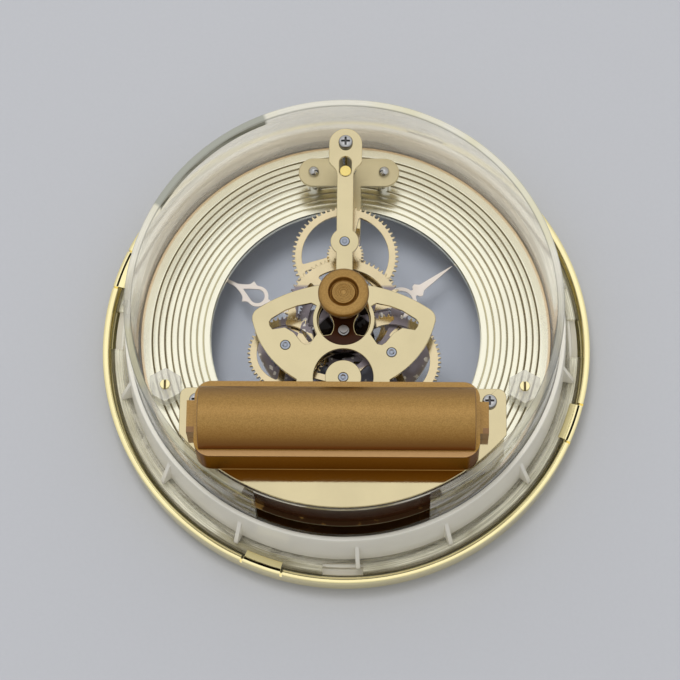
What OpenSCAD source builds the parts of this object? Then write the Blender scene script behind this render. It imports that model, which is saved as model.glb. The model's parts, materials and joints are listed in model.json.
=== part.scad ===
// Skeleton clock insert: a plated bezel and a clear cup that hold a geared quartz movement.
// Millimetres. z = 0 is the front of the bezel, +Z points to the back, +Y to twelve o'clock.

/* [Case] */
// Outside diameter of the bezel
bezel_d = 150; // [148:0.5:152]
// Height of the bezel wall from its front face
bezel_h = 10.5; // [10.5:0.1:11.5]
// Outside diameter of the clear cup, which goes into the bored hole
cup_d = 130; // [129.6:0.1:130.4]
// Thickness of the cup's wall
cup_wall = 2.2; // [1.8:0.1:2.4]
// Height of the cup's rim above the bezel's front face
rim_z = 50.8; // [50.4:0.1:52]
// Width of the window in the cup's wall at six o'clock
window_w = 51; // [40:1:54]
// Height of the window's lower edge
window_z = 21.7; // [20:0.1:28]
// Diameter of the front glass
lens_d = 143; // [141:0.5:144]
// Thickness of the front glass
lens_t = 2; // [1.6:0.1:2.4]

/* [Dial] */
// Diameter of the opening in the dial ring
dial_opening_d = 82; // [78:0.5:84]
// Level of the dial ring's grooved face
dial_z = 19; // [18.8:0.1:19.2]
// Number of turned grooves
groove_count = 9; // [0:1:9]
// Distance from one groove to the next
groove_pitch = 1.95; // [1.6:0.05:1.95]
// Radius of the innermost groove
groove_first_r = 43.4; // [43:0.1:44.4]

/* [Plates] */
// Level of the rear plate's underside
rear_z = 50; // [50:0.1:50.3]
// Thickness of the rear plate
rear_t = 1; // [0.8:0.1:1]
// Level of the front plate's underside
front_z = 29; // [28.6:0.1:29]
// Thickness of the front plate
front_t = 1.2; // [1:0.1:1.2]
// Radius of the rear plate's lower edge, which follows the cup
plate_r = 62.4; // [61.5:0.1:62.5]
// Half the width of the plates' lower segment
segment_half_w = 47.5; // [46:0.5:48]
// Level of the segment's straight upper edge along Y
segment_y = -26.5; // [-27:0.1:-26]

/* [Train] */
// Distance from the centre arbor to the top arbor
top_y = 19.1; // [18.9:0.05:19.3]
// Module of the centre wheel and of the pinions that it meets
centre_module = 0.481; // [0.478:0.001:0.482]
// Distance from the centre arbor down to the lower arbor
lower_y = 23.2; // [23:0.05:23.3]
// Distance from the lower arbor to the motor's shaft
rotor_gap = 13.6; // [13.5:0.05:13.7]

/* [Battery box] */
// Centre of the box along X
box_x = -1.4; // [-1.6:0.1:0]
// Length of the cover along X
box_l = 81.6; // [80:0.2:82]
// Lower edge of the cover along Y
box_y0 = -51.2; // [-51.4:0.1:-51]
// Width of the cover along Y
box_w = 22.4; // [22:0.1:22.6]
// Level of the shelf at the foot of the half round
box_shelf_z = 64.4; // [64:0.1:65]
// Radius of the half round over the cell
dome_r = 9.2; // [9:0.05:9.3]
// Thickness of the cover
cover_t = 1.5; // [1.3:0.1:1.5]

/* [Hands] */
// Length of the minute hand
minute_l = 54; // [50:0.5:55]
// Length of the hour hand
hour_l = 41; // [38:0.5:42]
// Direction of the minute hand from +X, seen from the back
minute_angle = 151; // [0:0.1:360]
// Direction of the hour hand from +X, seen from the back
hour_angle = 37.2; // [0:0.1:360]

/* [Knob] */
// Diameter of the setting knob
knob_d = 14.9; // [14:0.1:15.2]
// Level of the knob's outer face
knob_z = 60.6; // [60.2:0.1:61]

/* [Hidden] */
$fn = 96;
eps = 0.01;

bezel_r = bezel_d / 2;
cup_r = cup_d / 2;
bore_r = cup_r - cup_wall;
flange_z = 8;
flange_t = 1.6;
flange_r = 72.4;
floor_t = 1.8;
dial_t = 1.6;
floor_top = dial_z - dial_t;
floor_z = floor_top - floor_t;
lens_z = 2.4;
tab_angles = [-109.5, -19.4, 70.6, 160.5];
tab_sweep = 9.2;
tab_r = 70.9;
tab_t = 0.8;
notch_angles = [-90.2, 2.5, 176];
collar_top = 28.2;
collar_foot = flange_z + flange_t;
collar_in = cup_r + 0.15;
fin_r = 70.7;
fin_t = 1.3;
fin_angles = [-166, -141.6, -117.5, -86.5, -62.8, -37.7, -9, 16.3, 41, 59.5, 84.5, 110, 135, 169];
groove_half = 0.33;
groove_depth = 0.45;

rear_top = rear_z + rear_t;
front_top = front_z + front_t;
post_h = rear_z - front_top;
eye_r = 27.5;
crown_r = 44.3;
crown_y = 5.9;
corner_r = 3.5;
neck_half = 13.6;
neck_fillet = 2.5;
segment_corner = 2.5;
stem_half = 2.45;
boss_r = 4.2;
head_y = 50.3;
head_r = 5;
head_foot = 39.4;
opening_r = 7.8;
opening_y = -5.4;
ring_slot_out = 8.8;
ring_slot_in = 5.3;
arm_y = 49.5;
arm_x = [-10.1, 11.5];
arm_r = 4.6;
front_stem = [-1.9, 4.4];
screw_head_r = 2.15;
screw_shank_r = 1.2;
head_screw_y = 50.6;
base_x = 42.6;
base_y = -30.6;
pillar_r = 2.6;
peg_r = 1.5;
hex_x = 54.2;
hex_y = -17.2;
hex_flats = 9.3;
post_at = [[0, 42.6], [-22.5, -32], [22.5, -32]];

// Arbor positions and tooth numbers: the wheels mesh at rest
centre_teeth = 72;
top_teeth = 64;
cannon_teeth = 14;
minute_pinion = 32;
hour_teeth = 84;
left_pinion = 18;
left_teeth = 52;
left_module = 0.43;
right_pinion = 15;
right_teeth = 64;
lower_pinion = 8;
lower_teeth = 50;
rotor_pinion = 8;
centre_at = [0, 0];
top_at = [0, top_y];
left_dir = 218.1;
left_gap = centre_module * (centre_teeth + left_pinion) / 2;
left_at = left_gap * [cos(left_dir), sin(left_dir)];
right_dir = -47.7;
right_gap = centre_module * (centre_teeth + right_pinion) / 2;
right_at = right_gap * [cos(right_dir), sin(right_dir)];
lower_at = [0, -lower_y];
rotor_at = [0, -lower_y - rotor_gap];
top_module = 2 * top_y / (top_teeth + cannon_teeth);
hour_module = 2 * top_y / (minute_pinion + hour_teeth);
right_module = 2 * norm(lower_at - right_at) / (right_teeth + lower_pinion);
lower_module = 2 * rotor_gap / (lower_teeth + rotor_pinion);

// Levels of the wheels
wheel_t = 1;
hour_z = 32.4;
top_z = 37.3;
centre_z = 40.2;
side_z = 42.2;
lower_z = 44.8;
arbor_r = 1.1;
rear_pivot_r = 1.4;
collar_r = 2;
front_pivot_r = 0.9;
pivot_gap = 0.05;
pipe_r = 2.4;
centre_shaft_r = 1.45;
minute_z = 12;
hour_hand_z = 13.9;
hand_t = 0.6;
nut_z = 10.6;

housing_half = 36;
housing_top_y = -31.2;
housing_r = 61.2;
housing_wall = 1.6;
stator_z = 39.2;
coil_y = -47.4;
coil_z = 40.7;
coil_x = [5.6, 25.4];
core_x = [-2.4, 30.6];
magnet_r = 2;
board_z = 33.6;
board_t = 1.2;

cell_r = 7.1;
cell_z = 62.3;
cell_x = [-32.5, 16];
box_y1 = box_y0 + box_w;
cell_y = (box_y0 + box_y1) / 2;
tray_t = 1.4;
contact_gap = 4.6;
lead_x = [-27, -11];
lead_y = -43.6;
knob_r = knob_d / 2;

gold = "khaki";
satin = "burlywood";
steel = "lightsteelblue";
bronze = "peru";

// Points of an arc about c, from angle a0 to a1
function arc(c, r, a0, a1, n = 12) = [for (i = [0:n]) c + r * [cos(a0 + (a1 - a0) * i / n), sin(a0 + (a1 - a0) * i / n)]];
function flip_x(pts) = [for (i = [len(pts) - 1:-1:0]) [-pts[i][0], pts[i][1]]];

// Angle that puts a gap of the second wheel at a tooth of the first, alpha being the way from first to second
function mesh_angle(alpha, phase, n1, n2) = alpha + 180 - 360 / n2 * (0.5 - (alpha - phase) * n1 / 360);

// Outline of a wheel with n teeth of module m: thin flanks that leave backlash
function tooth(n, m, k, phase) = let (
    p = PI * m, ra = n * m / 2 + 0.85 * m, rr = n * m / 2 - 1.15 * m,
    wa = 0.1 * p / ra * 180 / PI, wr = 0.25 * p / rr * 180 / PI, a = phase + k * 360 / n)
    [for (q = [[rr, -wr], [ra, -wa], [ra, wa], [rr, wr]]) q[0] * [cos(a + q[1]), sin(a + q[1])]];
function gear_outline(n, m, phase) = [for (k = [0:n - 1]) each tooth(n, m, k, phase)];

module tube(r_out, r_in, h) {
    difference() {
        cylinder(r = r_out, h = h);
        translate([0, 0, -eps]) cylinder(r = r_in, h = h + 2 * eps);
    }
}

// Spoked wheel: toothed rim, hub and straight spokes in one sheet
module spoked_wheel(n, m, phase, rim_in, hub_r, bore, spokes, spoke_w, spoke_a) {
    difference() {
        union() {
            difference() {
                linear_extrude(wheel_t) polygon(gear_outline(n, m, phase));
                translate([0, 0, -eps]) cylinder(r = rim_in, h = wheel_t + 2 * eps);
            }
            cylinder(r = hub_r, h = wheel_t);
            for (k = [0:spokes - 1]) rotate(spoke_a + k * 360 / spokes)
                translate([hub_r - 0.6, -spoke_w / 2, 0]) cube([rim_in - hub_r + 1.2, spoke_w, wheel_t]);
        }
        translate([0, 0, -eps]) cylinder(r = bore, h = wheel_t + 2 * eps);
    }
}

// Steel arbor between the plates with a pinion at one level
module arbor(n, m, phase, pinion_z, pinion_h) {
    translate([0, 0, front_z + 0.1]) cylinder(r = front_pivot_r, h = front_t + 0.4);
    translate([0, 0, front_top + 0.2]) cylinder(r = arbor_r, h = post_h - 0.5);
    translate([0, 0, rear_z - 0.8]) cylinder(r = collar_r, h = 0.6);
    translate([0, 0, rear_z - 0.3]) cylinder(r = rear_pivot_r, h = rear_t + 0.45);
    translate([0, 0, pinion_z]) linear_extrude(pinion_h) polygon(gear_outline(n, m, phase));
}

module cross_cut(r, depth) {
    for (a = [0, 90]) rotate(a) translate([-r * 0.62, -r * 0.14, -depth]) cube([r * 1.24, r * 0.28, depth + 1]);
}

module pan_screw(shank_l) {
    difference() {
        union() {
            rotate_extrude() polygon(concat([[0, 0]], [[screw_head_r, 0], [screw_head_r, 0.7]],
                arc([screw_head_r - 1, 0.7], 1, 0, 70, 5), [[0, 1.85]]));
            translate([0, 0, -shank_l]) cylinder(r = screw_shank_r, h = shank_l + 0.1);
        }
        translate([0, 0, 1.85]) cross_cut(screw_head_r, 1);
    }
}

module bezel() {
    color(gold) {
        difference() {
            rotate_extrude($fn = 180) polygon(concat(
                [[65.5, 1], [67.5, 0.15], [69, 0], [71, 0]], arc([bezel_r - 3.8, 3.8], 3.8, -84, 0, 6),
                [[bezel_r, bezel_h], [bezel_r - 1.9, bezel_h], [bezel_r - 1.9, bezel_h - 1.1],
                [bezel_r - 1.2, bezel_h - 1.5], [bezel_r - 1.2, 3.8], [bezel_r - 2, 2.4], [bezel_r - 3.2, 1.7],
                [70, 1.5], [67.9, 1.6], [66, 2.3]]));
            for (a = tab_angles, s = [-1, 1]) rotate(a + s * (tab_sweep / 2 + 0.3))
                translate([bezel_r - 2.4, -0.35, bezel_h - 2.2]) cube([4, 0.7, 3]);
        }
        for (a = tab_angles) rotate(a - tab_sweep / 2) rotate_extrude(angle = tab_sweep, $fn = 180)
            polygon([[tab_r, bezel_h - tab_t], [bezel_r - 1, bezel_h - tab_t], [bezel_r - 1, bezel_h],
                [tab_r + 0.3, bezel_h]]);
    }
}

module lens() {
    color("white", 0.3) translate([0, 0, lens_z]) cylinder(r = lens_d / 2, h = lens_t, $fn = 180);
}

module lens_ring() {
    color("whitesmoke") translate([0, 0, lens_z + lens_t]) rotate_extrude($fn = 180)
        polygon([[67, 0], [lens_d / 2, 0], [lens_d / 2, 1.2], [69.6, 2], [69.6, flange_z - lens_z - lens_t],
            [67, flange_z - lens_z - lens_t]]);
}

module case_cup() {
    color("white", 0.35) difference() {
        rotate_extrude($fn = 180) polygon([[bore_r, flange_z], [flange_r, flange_z],
            [flange_r, flange_z + flange_t - 0.3], [flange_r - 0.3, flange_z + flange_t],
            [cup_r, flange_z + flange_t], [cup_r, rim_z - 0.5], [cup_r - 0.5, rim_z], [bore_r + 0.3, rim_z],
            [bore_r, rim_z - 0.3], [bore_r, floor_top], [dial_opening_d / 2 + 1.5, floor_top],
            [dial_opening_d / 2 + 1.5, floor_z], [bore_r, floor_z]]);
        translate([-window_w / 2, -cup_r - 4, window_z]) cube([window_w, 12, rim_z - 1.4 - window_z]);
        for (a = notch_angles) rotate(a) translate([68.6, -6.1, flange_z - 1]) cube([6, 12.2, 4]);
        for (s = [-1, 1]) translate([s * hex_x, hex_y, floor_z - 1]) cylinder(r = 1.5, h = 4);
        for (s = [-1, 1]) translate([s * base_x, base_y, floor_z - 1]) cylinder(r = peg_r, h = 4);
        for (x = arm_x) translate([x, arm_y, floor_z - 1]) cylinder(r = peg_r, h = 4);
        translate([0, head_screw_y, floor_z - 1]) cylinder(r = peg_r, h = 4);
    }
}

module fit_ring() {
    color("snow") {
        rotate_extrude($fn = 180) polygon([[collar_in, collar_foot], [cup_r + 2.5, collar_foot],
            [cup_r + 2.3, 15], [cup_r + 1.5, collar_top - 0.4], [cup_r + 1.1, collar_top], [collar_in, collar_top]]);
        for (a = fin_angles) rotate(a) translate([0, fin_t / 2, 0]) rotate([90, 0, 0]) linear_extrude(fin_t)
            polygon([[cup_r + 1, collar_foot], [fin_r, collar_foot], [fin_r, collar_foot + 1.6],
                [cup_r + 1, collar_top - 4]]);
    }
}

module dial_ring() {
    color("palegoldenrod") difference() {
        rotate_extrude($fn = 180) polygon(concat(
            [[dial_opening_d / 2, floor_top], [bore_r - 0.2, floor_top], [bore_r - 0.2, dial_z]],
            [for (k = [groove_count - 1:-1:0], q = [[groove_half, 0], [0, -groove_depth], [-groove_half, 0]])
                [groove_first_r + k * groove_pitch + q[0], dial_z + q[1]]],
            [[dial_opening_d / 2 + 0.4, dial_z], [dial_opening_d / 2, dial_z - 0.4]]));
        for (s = [-1, 1]) translate([s * hex_x, hex_y, floor_top - 1]) cylinder(r = 1.5, h = 4);
        for (s = [-1, 1]) translate([s * base_x, base_y, floor_top - 1]) cylinder(r = pillar_r + 0.2, h = 4);
        for (x = arm_x) translate([x, arm_y, floor_top - 1]) cylinder(r = pillar_r - 0.2, h = 4);
        translate([0, head_screw_y, floor_top - 1]) cylinder(r = pillar_r + 0.2, h = 4);
    }
}

module hour_markers() {
    color("goldenrod") for (k = [0:11]) rotate(k * 30)
        translate([k % 3 == 0 ? 47.5 : 50, -0.9, floor_z - 0.5]) cube([k % 3 == 0 ? 9.5 : 7, 1.8, 0.5]);
}

module hex_nuts() {
    color("white", 0.5) for (s = [-1, 1]) translate([s * hex_x, hex_y, dial_z]) difference() {
        rotate(30) cylinder(r = hex_flats / 2 / cos(30), h = 5.2, $fn = 6);
        translate([0, 0, -eps]) cylinder(r = 1.5, h = 6);
    }
}

module dial_screws() {
    color(gold) for (s = [-1, 1]) translate([s * hex_x, hex_y, 0]) difference() {
        union() {
            translate([0, 0, floor_z - 1.4]) cylinder(r = 2.6, h = 1.4);
            translate([0, 0, floor_z - 0.1]) cylinder(r = 1.5, h = dial_z + 5.9 - floor_z);
        }
        translate([-0.3, -2, dial_z + 5]) cube([0.6, 4, 2]);
    }
}

// Lower half of both plates: the segment, the neck and the eye, without the stem
function lower_right() = concat(
    arc([0, 0], plate_r, -90, -acos(segment_half_w / plate_r), 16),
    arc([segment_half_w - segment_corner, segment_y - segment_corner], segment_corner, 0, 90, 6),
    arc([neck_half + neck_fillet, segment_y + neck_fillet], neck_fillet, -90, -180, 6),
    arc([0, 0], eye_r, -acos(neck_half / eye_r), -12.1, 12),
    arc([23.47, -5.03], corner_r, -12.1, 54.9, 6),
    arc([0, crown_y - crown_r], crown_r, 54.9, 86.8, 14));

// Crescent window on the +X side of the eye
window_pts = concat([[21.9, -6.2], [21.2, -5.2], [17.2, -2.6], [13.7, -1.2], [9.6, -0.3], [8.8, -0.7]],
    arc([0, opening_y], opening_r + 1.3, 28, -30, 8), [[9.9, -12.9], [11.2, -13.2], [12.3, -12.4],
    [14.6, -9.5], [17.2, -7.9], [20.9, -8.5], [21.7, -7.4]]);

module pivot_holes(r, z0, h, with_top = true) {
    for (p = with_top ? [top_at, left_at, right_at, lower_at] : [left_at, right_at, lower_at])
        translate([p[0], p[1], z0]) cylinder(r = r, h = h);
}

module rear_plate() {
    right_side = concat(lower_right(), [[stem_half, 7], [stem_half, head_foot]],
        arc([head_r + 1.6, head_foot + 0.6], 4.15, 180, 125, 5),
        [[head_r, 44.6]], arc([0, head_y], head_r, 0, 90, 12));
    color(satin) translate([0, 0, rear_z]) difference() {
        union() {
            linear_extrude(rear_t) polygon(concat(right_side, flip_x(right_side)));
            translate([0, top_y, 0]) cylinder(r = boss_r, h = rear_t);
        }
        translate([0, opening_y, -1]) cylinder(r = opening_r, h = 4);
        for (s = [0, 1]) mirror([s, 0, 0]) translate([0, 0, -1]) linear_extrude(4) polygon(window_pts);
        translate([0, -lower_y, -1]) rotate(-50) rotate_extrude(angle = 280)
            polygon([[ring_slot_in, 0], [ring_slot_out, 0], [ring_slot_out, 4], [ring_slot_in, 4]]);
        translate([0, 0, -1]) pivot_holes(rear_pivot_r + pivot_gap, 0, 4);
        translate([rotor_at[0], rotor_at[1], -1]) cylinder(r = 0.65, h = 4);
        translate([0, head_screw_y, -1]) cylinder(r = screw_shank_r, h = 4);
        for (s = [-1, 1]) translate([s * base_x, base_y, -1]) cylinder(r = screw_shank_r, h = 4);
        for (y = [41.6, 44.4]) translate([0, y, -1]) cylinder(r = 1.85, h = 4);
        translate([-1.85, 41.6, -1]) cube([3.7, 2.8, 4]);
        for (x = lead_x) translate([x, lead_y, -1]) cylinder(r = 0.8, h = 4);
    }
}

module front_plate() {
    lower = lower_right();
    color(satin) translate([0, 0, front_z]) difference() {
        union() {
            linear_extrude(front_t) polygon(concat(lower, flip_x(lower)));
            translate([front_stem[0], 0, 0]) cube([front_stem[1] - front_stem[0], arm_y, front_t]);
            translate([arm_x[0], arm_y - arm_r, 0]) cube([arm_x[1] - arm_x[0], 2 * arm_r, front_t]);
            for (x = arm_x) translate([x, arm_y, 0]) cylinder(r = arm_r, h = front_t);
            translate([1.2, top_y, 0]) cylinder(r = boss_r + 0.6, h = front_t);
        }
        for (s = [0, 1]) mirror([s, 0, 0]) translate([0, 0, -1]) linear_extrude(4) polygon(window_pts);
        translate([0, 0, -1]) cylinder(r = pipe_r + pivot_gap, h = 4);
        translate([0, 0, -1]) pivot_holes(front_pivot_r + pivot_gap, 0, 4);
        for (x = arm_x) translate([x, arm_y, -1]) cylinder(r = screw_shank_r, h = 4);
        translate([0, head_screw_y, -1]) cylinder(r = pillar_r + 0.2, h = 4);
        for (s = [-1, 1]) translate([s * base_x, base_y, -1]) cylinder(r = pillar_r + 0.2, h = 4);
    }
}

// Pillar that stands on the cup's floor, with a peg through it and a tapped top
module pillar(r, z1) {
    difference() {
        union() {
            translate([0, 0, floor_top]) cylinder(r = r, h = z1 - floor_top);
            translate([0, 0, floor_z]) cylinder(r = peg_r, h = floor_t + 0.2);
        }
        translate([0, 0, z1 - 6]) cylinder(r = screw_shank_r, h = 7);
    }
}

module arm_pillars() {
    color("silver") for (x = arm_x) translate([x, arm_y, 0]) pillar(pillar_r - 0.4, front_z);
}

module arm_screws() {
    color("silver") for (x = arm_x) translate([x, arm_y, front_top]) {
        rotate_extrude() polygon(concat([[0, 0], [1.65, 0], [1.65, 0.4]], arc([0, 0.4], 1.65, 8, 90, 7)));
        translate([0, 0, -front_t - 5]) cylinder(r = screw_shank_r, h = front_t + 5.1);
    }
}

module head_pillar() {
    color("silver") translate([0, head_screw_y, 0]) pillar(pillar_r, rear_z);
}

module head_screw() {
    color("gainsboro") translate([0, head_screw_y, rear_top]) pan_screw(5.5);
}

module base_pillars() {
    color("silver") for (s = [-1, 1]) translate([s * base_x, base_y, 0]) pillar(pillar_r, rear_z);
}

module base_screws() {
    color("gainsboro") for (s = [-1, 1]) translate([s * base_x, base_y, rear_top]) pan_screw(5.5);
}

module plate_posts() {
    color("gold") for (p = post_at) translate([p[0], p[1], front_top])
        cylinder(r = 1.7, h = post_h - (p[1] > 0 ? 1.5 : 0));
}

// Bronze bridge under the eye, with two crescents cut out beside the arbor
module centre_bridge() {
    color(bronze) translate([0, 0, rear_z - 3]) difference() {
        translate([0, opening_y, 0]) cylinder(r = opening_r + 1.2, h = 3);
        translate([0, 0, -1]) cylinder(r = centre_shaft_r + pivot_gap, h = 5);
        for (s = [0, 1]) mirror([s, 0, 0]) translate([0, 0, -1]) linear_extrude(5)
            polygon(concat(arc([0, opening_y], 7.5, 46, -38, 12), arc([7.6, opening_y - 1.6], 4.6, 215, 140, 8)));
        translate([0, -8.6, -1]) cylinder(r = 0.9, h = 5);
    }
}

module bridge_screw() {
    color(steel) translate([0, -8.6, 0]) {
        translate([0, 0, rear_z - 3]) cylinder(r = 0.9, h = 3.1);
        translate([0, 0, rear_z]) cylinder(r = 1.6, h = 0.8);
        translate([0, 0, rear_z + 0.8]) cylinder(r = 1.2, h = 1);
    }
}

module centre_arbor() {
    color(steel) {
        translate([0, 0, 11]) cylinder(r = centre_shaft_r, h = knob_z - 3.5 - 11);
        translate([0, 0, top_z - 0.4]) linear_extrude(wheel_t + 0.8)
            polygon(gear_outline(cannon_teeth, top_module, 0));
    }
}

module centre_wheel() {
    color(satin) translate([0, 0, centre_z])
        spoked_wheel(centre_teeth, centre_module, 0, 13.9, 4.6, centre_shaft_r, 3, 2.7, 10.8);
}

// Flat pierced hand along +X from one side of its outline: hub, stem, loop with cusps, bud and point
module hand(half, hole, hub_r, bore) {
    difference() {
        union() {
            cylinder(r = hub_r, h = hand_t);
            linear_extrude(hand_t) polygon(concat(half, [for (i = [len(half) - 1:-1:0]) [half[i][0], -half[i][1]]]));
        }
        translate([0, 0, -1]) linear_extrude(hand_t + 2) polygon(hole);
        translate([0, 0, -1]) cylinder(r = bore, h = hand_t + 2);
    }
}

module minute_hand() {
    half = concat([[0, 0.9], [26.6, 0.65], [28.2, 0.9]], arc([31.4, 0], 3.4, 163, 64, 9),
        [[33.5, 3.1], [34.8, 3.8], [35.1, 2.9], [35.5, 2.25], [36.3, 1.75], [37.5, 1.15], [39, 0.6],
        [minute_l, 0.12]]);
    color("linen") translate([0, 0, minute_z]) rotate(minute_angle)
        hand(half, concat([[36.6, 0]], arc([31.5, 0], 2.3, 62, 298, 18)), 3.2, centre_shaft_r);
}

module hour_hand() {
    half = concat([[0, 1], [10, 0.8], [10.8, 1.7], [12, 1.5], [13, 0.9]], arc([21.2, 0], 4.9, 130, 14, 10),
        [[26.6, 1.1], [27, 2], [28, 2.3], [28.8, 1.5], [29.3, 1.15], [hour_l, 0.12]]);
    color("linen") translate([0, 0, hour_hand_z]) rotate(hour_angle)
        hand(half, concat([[14, 0]], arc([21.2, 0], 3.75, -125, 125, 20)), 4.2, pipe_r);
}

module hand_nut() {
    color("gold") translate([0, 0, nut_z]) rotate_extrude()
        polygon([[0, 0], [1.2, 0], [2.4, 0.5], [2.4, 1.4], [centre_shaft_r, 1.4], [centre_shaft_r, 0.4], [0, 0.4]]);
}

module setting_knob() {
    color(bronze) difference() {
        rotate_extrude() polygon(concat(
            [[0, rear_top + 0.5], [5.3, rear_top + 0.5], [5.6, rear_top + 1], [5.3, rear_top + 1.6],
            [3.9, rear_top + 2.4], [3.7, knob_z - 5.2], [4.6, knob_z - 4.8]],
            [[knob_r - 0.9, knob_z - 3.9], [knob_r - 0.25, knob_z - 3.3], [knob_r, knob_z - 2.6],
            [knob_r, knob_z - 1.4], [knob_r - 0.35, knob_z - 0.7], [knob_r - 1.1, knob_z - 0.25],
            [knob_r - 2.3, knob_z - 0.2], [4.6, knob_z], [4.3, knob_z - 0.15], [4.1, knob_z - 1],
            [3.4, knob_z - 0.75], [2.8, knob_z - 1.1], [1.3, knob_z - 1.1], [1, knob_z - 0.7], [0, knob_z - 0.6]]));
        translate([0, 0, rear_top]) cylinder(r = centre_shaft_r, h = knob_z - 3.5 - rear_top);
    }
}

module hour_wheel() {
    color(satin) {
        translate([0, 0, hour_z]) spoked_wheel(hour_teeth, hour_module,
            mesh_angle(-90, mesh_angle(90, 0, cannon_teeth, top_teeth), minute_pinion, hour_teeth),
            11, pipe_r + 1.4, centre_shaft_r + pivot_gap, 4, 2.4, 40);
        translate([0, 0, hour_hand_z - 0.3]) tube(pipe_r, centre_shaft_r + pivot_gap, hour_z - hour_hand_z + 0.4);
        translate([0, 0, hour_z + wheel_t - 0.1]) tube(pipe_r + 0.6, centre_shaft_r + pivot_gap, 1.3);
    }
}

module top_wheel() {
    color(satin) translate([0, top_y, top_z]) spoked_wheel(top_teeth, top_module,
        mesh_angle(90, 0, cannon_teeth, top_teeth), 13.1, 3.4, arbor_r, 3, 2.3, 77);
}

module top_arbor() {
    phase = mesh_angle(90, 0, cannon_teeth, top_teeth);
    color(steel) translate([0, top_y, 0]) {
        arbor(minute_pinion, hour_module, phase, hour_z - 0.4, wheel_t + 0.8);
        translate([0, 0, top_z + wheel_t]) linear_extrude(1.2)
            polygon(gear_outline(minute_pinion, hour_module, phase));
    }
}

module left_wheel() {
    color(satin) translate([left_at[0], left_at[1], side_z])
        spoked_wheel(left_teeth, left_module, 0, 8.7, 3.4, arbor_r, 3, 2, 20);
}

module left_arbor() {
    color(steel) translate([left_at[0], left_at[1], 0]) arbor(left_pinion, centre_module,
        mesh_angle(left_dir, 0, centre_teeth, left_pinion), centre_z - 0.4, side_z - centre_z + 0.4);
}

module right_wheel() {
    color(satin) translate([right_at[0], right_at[1], side_z])
        spoked_wheel(right_teeth, right_module, right_phase(), 11.3, 3.4, arbor_r, 3, 2.2, 55);
}

function right_phase() = mesh_angle(right_dir, 0, centre_teeth, right_pinion);
function right_to_lower() = atan2(lower_at[1] - right_at[1], lower_at[0] - right_at[0]);
function lower_phase() = mesh_angle(right_to_lower(), right_phase(), right_teeth, lower_pinion);

module right_arbor() {
    color(steel) translate([right_at[0], right_at[1], 0])
        arbor(right_pinion, centre_module, right_phase(), centre_z - 0.4, side_z - centre_z + 0.4);
}

module lower_wheel() {
    color(satin) translate([0, -lower_y, lower_z])
        spoked_wheel(lower_teeth, lower_module, lower_phase(), 9.3, 3, arbor_r, 3, 2, 45);
}

module lower_arbor() {
    color(steel) translate([0, -lower_y, 0])
        arbor(lower_pinion, right_module, lower_phase(), side_z - 0.5, wheel_t + 1);
}

module rotor_shaft() {
    color(steel) translate([rotor_at[0], rotor_at[1], 0]) {
        translate([0, 0, front_top + 0.2]) cylinder(r = 0.6, h = rear_z + 0.6 - front_top);
        translate([0, 0, lower_z - 0.6]) linear_extrude(wheel_t + 1.2) polygon(
            gear_outline(rotor_pinion, lower_module, mesh_angle(-90, lower_phase(), lower_teeth, rotor_pinion)));
    }
}

module rotor_magnet() {
    color("dimgray") translate([rotor_at[0], rotor_at[1], stator_z - 1.2]) tube(magnet_r, 0.6, 3.4);
}

// Soft iron plate round the magnet, with an arm to each end of the coil's core
module stator() {
    color("slategray") translate([0, 0, stator_z]) difference() {
        union() {
            translate([rotor_at[0], rotor_at[1], 0]) cylinder(r = magnet_r + 1.8, h = 1);
            translate([core_x[0], coil_y - 1.8, 0]) cube([4.8, rotor_at[1] - coil_y, 1]);
            translate([2, rotor_at[1] - 2.4, 0]) cube([core_x[1] - 2, 4.8, 1]);
            translate([core_x[1] - 3.8, coil_y - 1.8, 0]) cube([3.8, rotor_at[1] - coil_y, 1]);
        }
        translate([rotor_at[0], rotor_at[1], -1]) cylinder(r = magnet_r + 0.5, h = 3);
        for (a = [70, 250]) translate([rotor_at[0], rotor_at[1], -1]) rotate(a)
            translate([magnet_r, -0.25, 0]) cube([1.1, 0.5, 3]);
    }
}

module coil_core() {
    color("lightslategray") translate([core_x[0], coil_y - 1, stator_z + 1])
        cube([core_x[1] - core_x[0], 2, 1]);
}

module coil_bobbin() {
    color("ivory") translate([0, coil_y, coil_z]) difference() {
        rotate([0, 90, 0]) union() {
            translate([0, 0, coil_x[0]]) cylinder(r = 2, h = coil_x[1] - coil_x[0]);
            for (x = coil_x) translate([0, 0, x - 0.4]) cylinder(r = 4.2, h = 0.8);
        }
        translate([coil_x[0] - 2, -1, -0.5]) cube([coil_x[1] - coil_x[0] + 4, 2, 1]);
    }
}

module coil_winding() {
    color("chocolate") translate([coil_x[0] + 0.4, coil_y, coil_z]) rotate([0, 90, 0])
        tube(3.7, 2, coil_x[1] - coil_x[0] - 0.8);
}

module housing_shape(inset) {
    intersection() {
        circle(r = housing_r - inset, $fn = 180);
        translate([-housing_half + inset, -housing_r]) square([2 * (housing_half - inset),
            housing_r + housing_top_y - inset]);
    }
}

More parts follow.
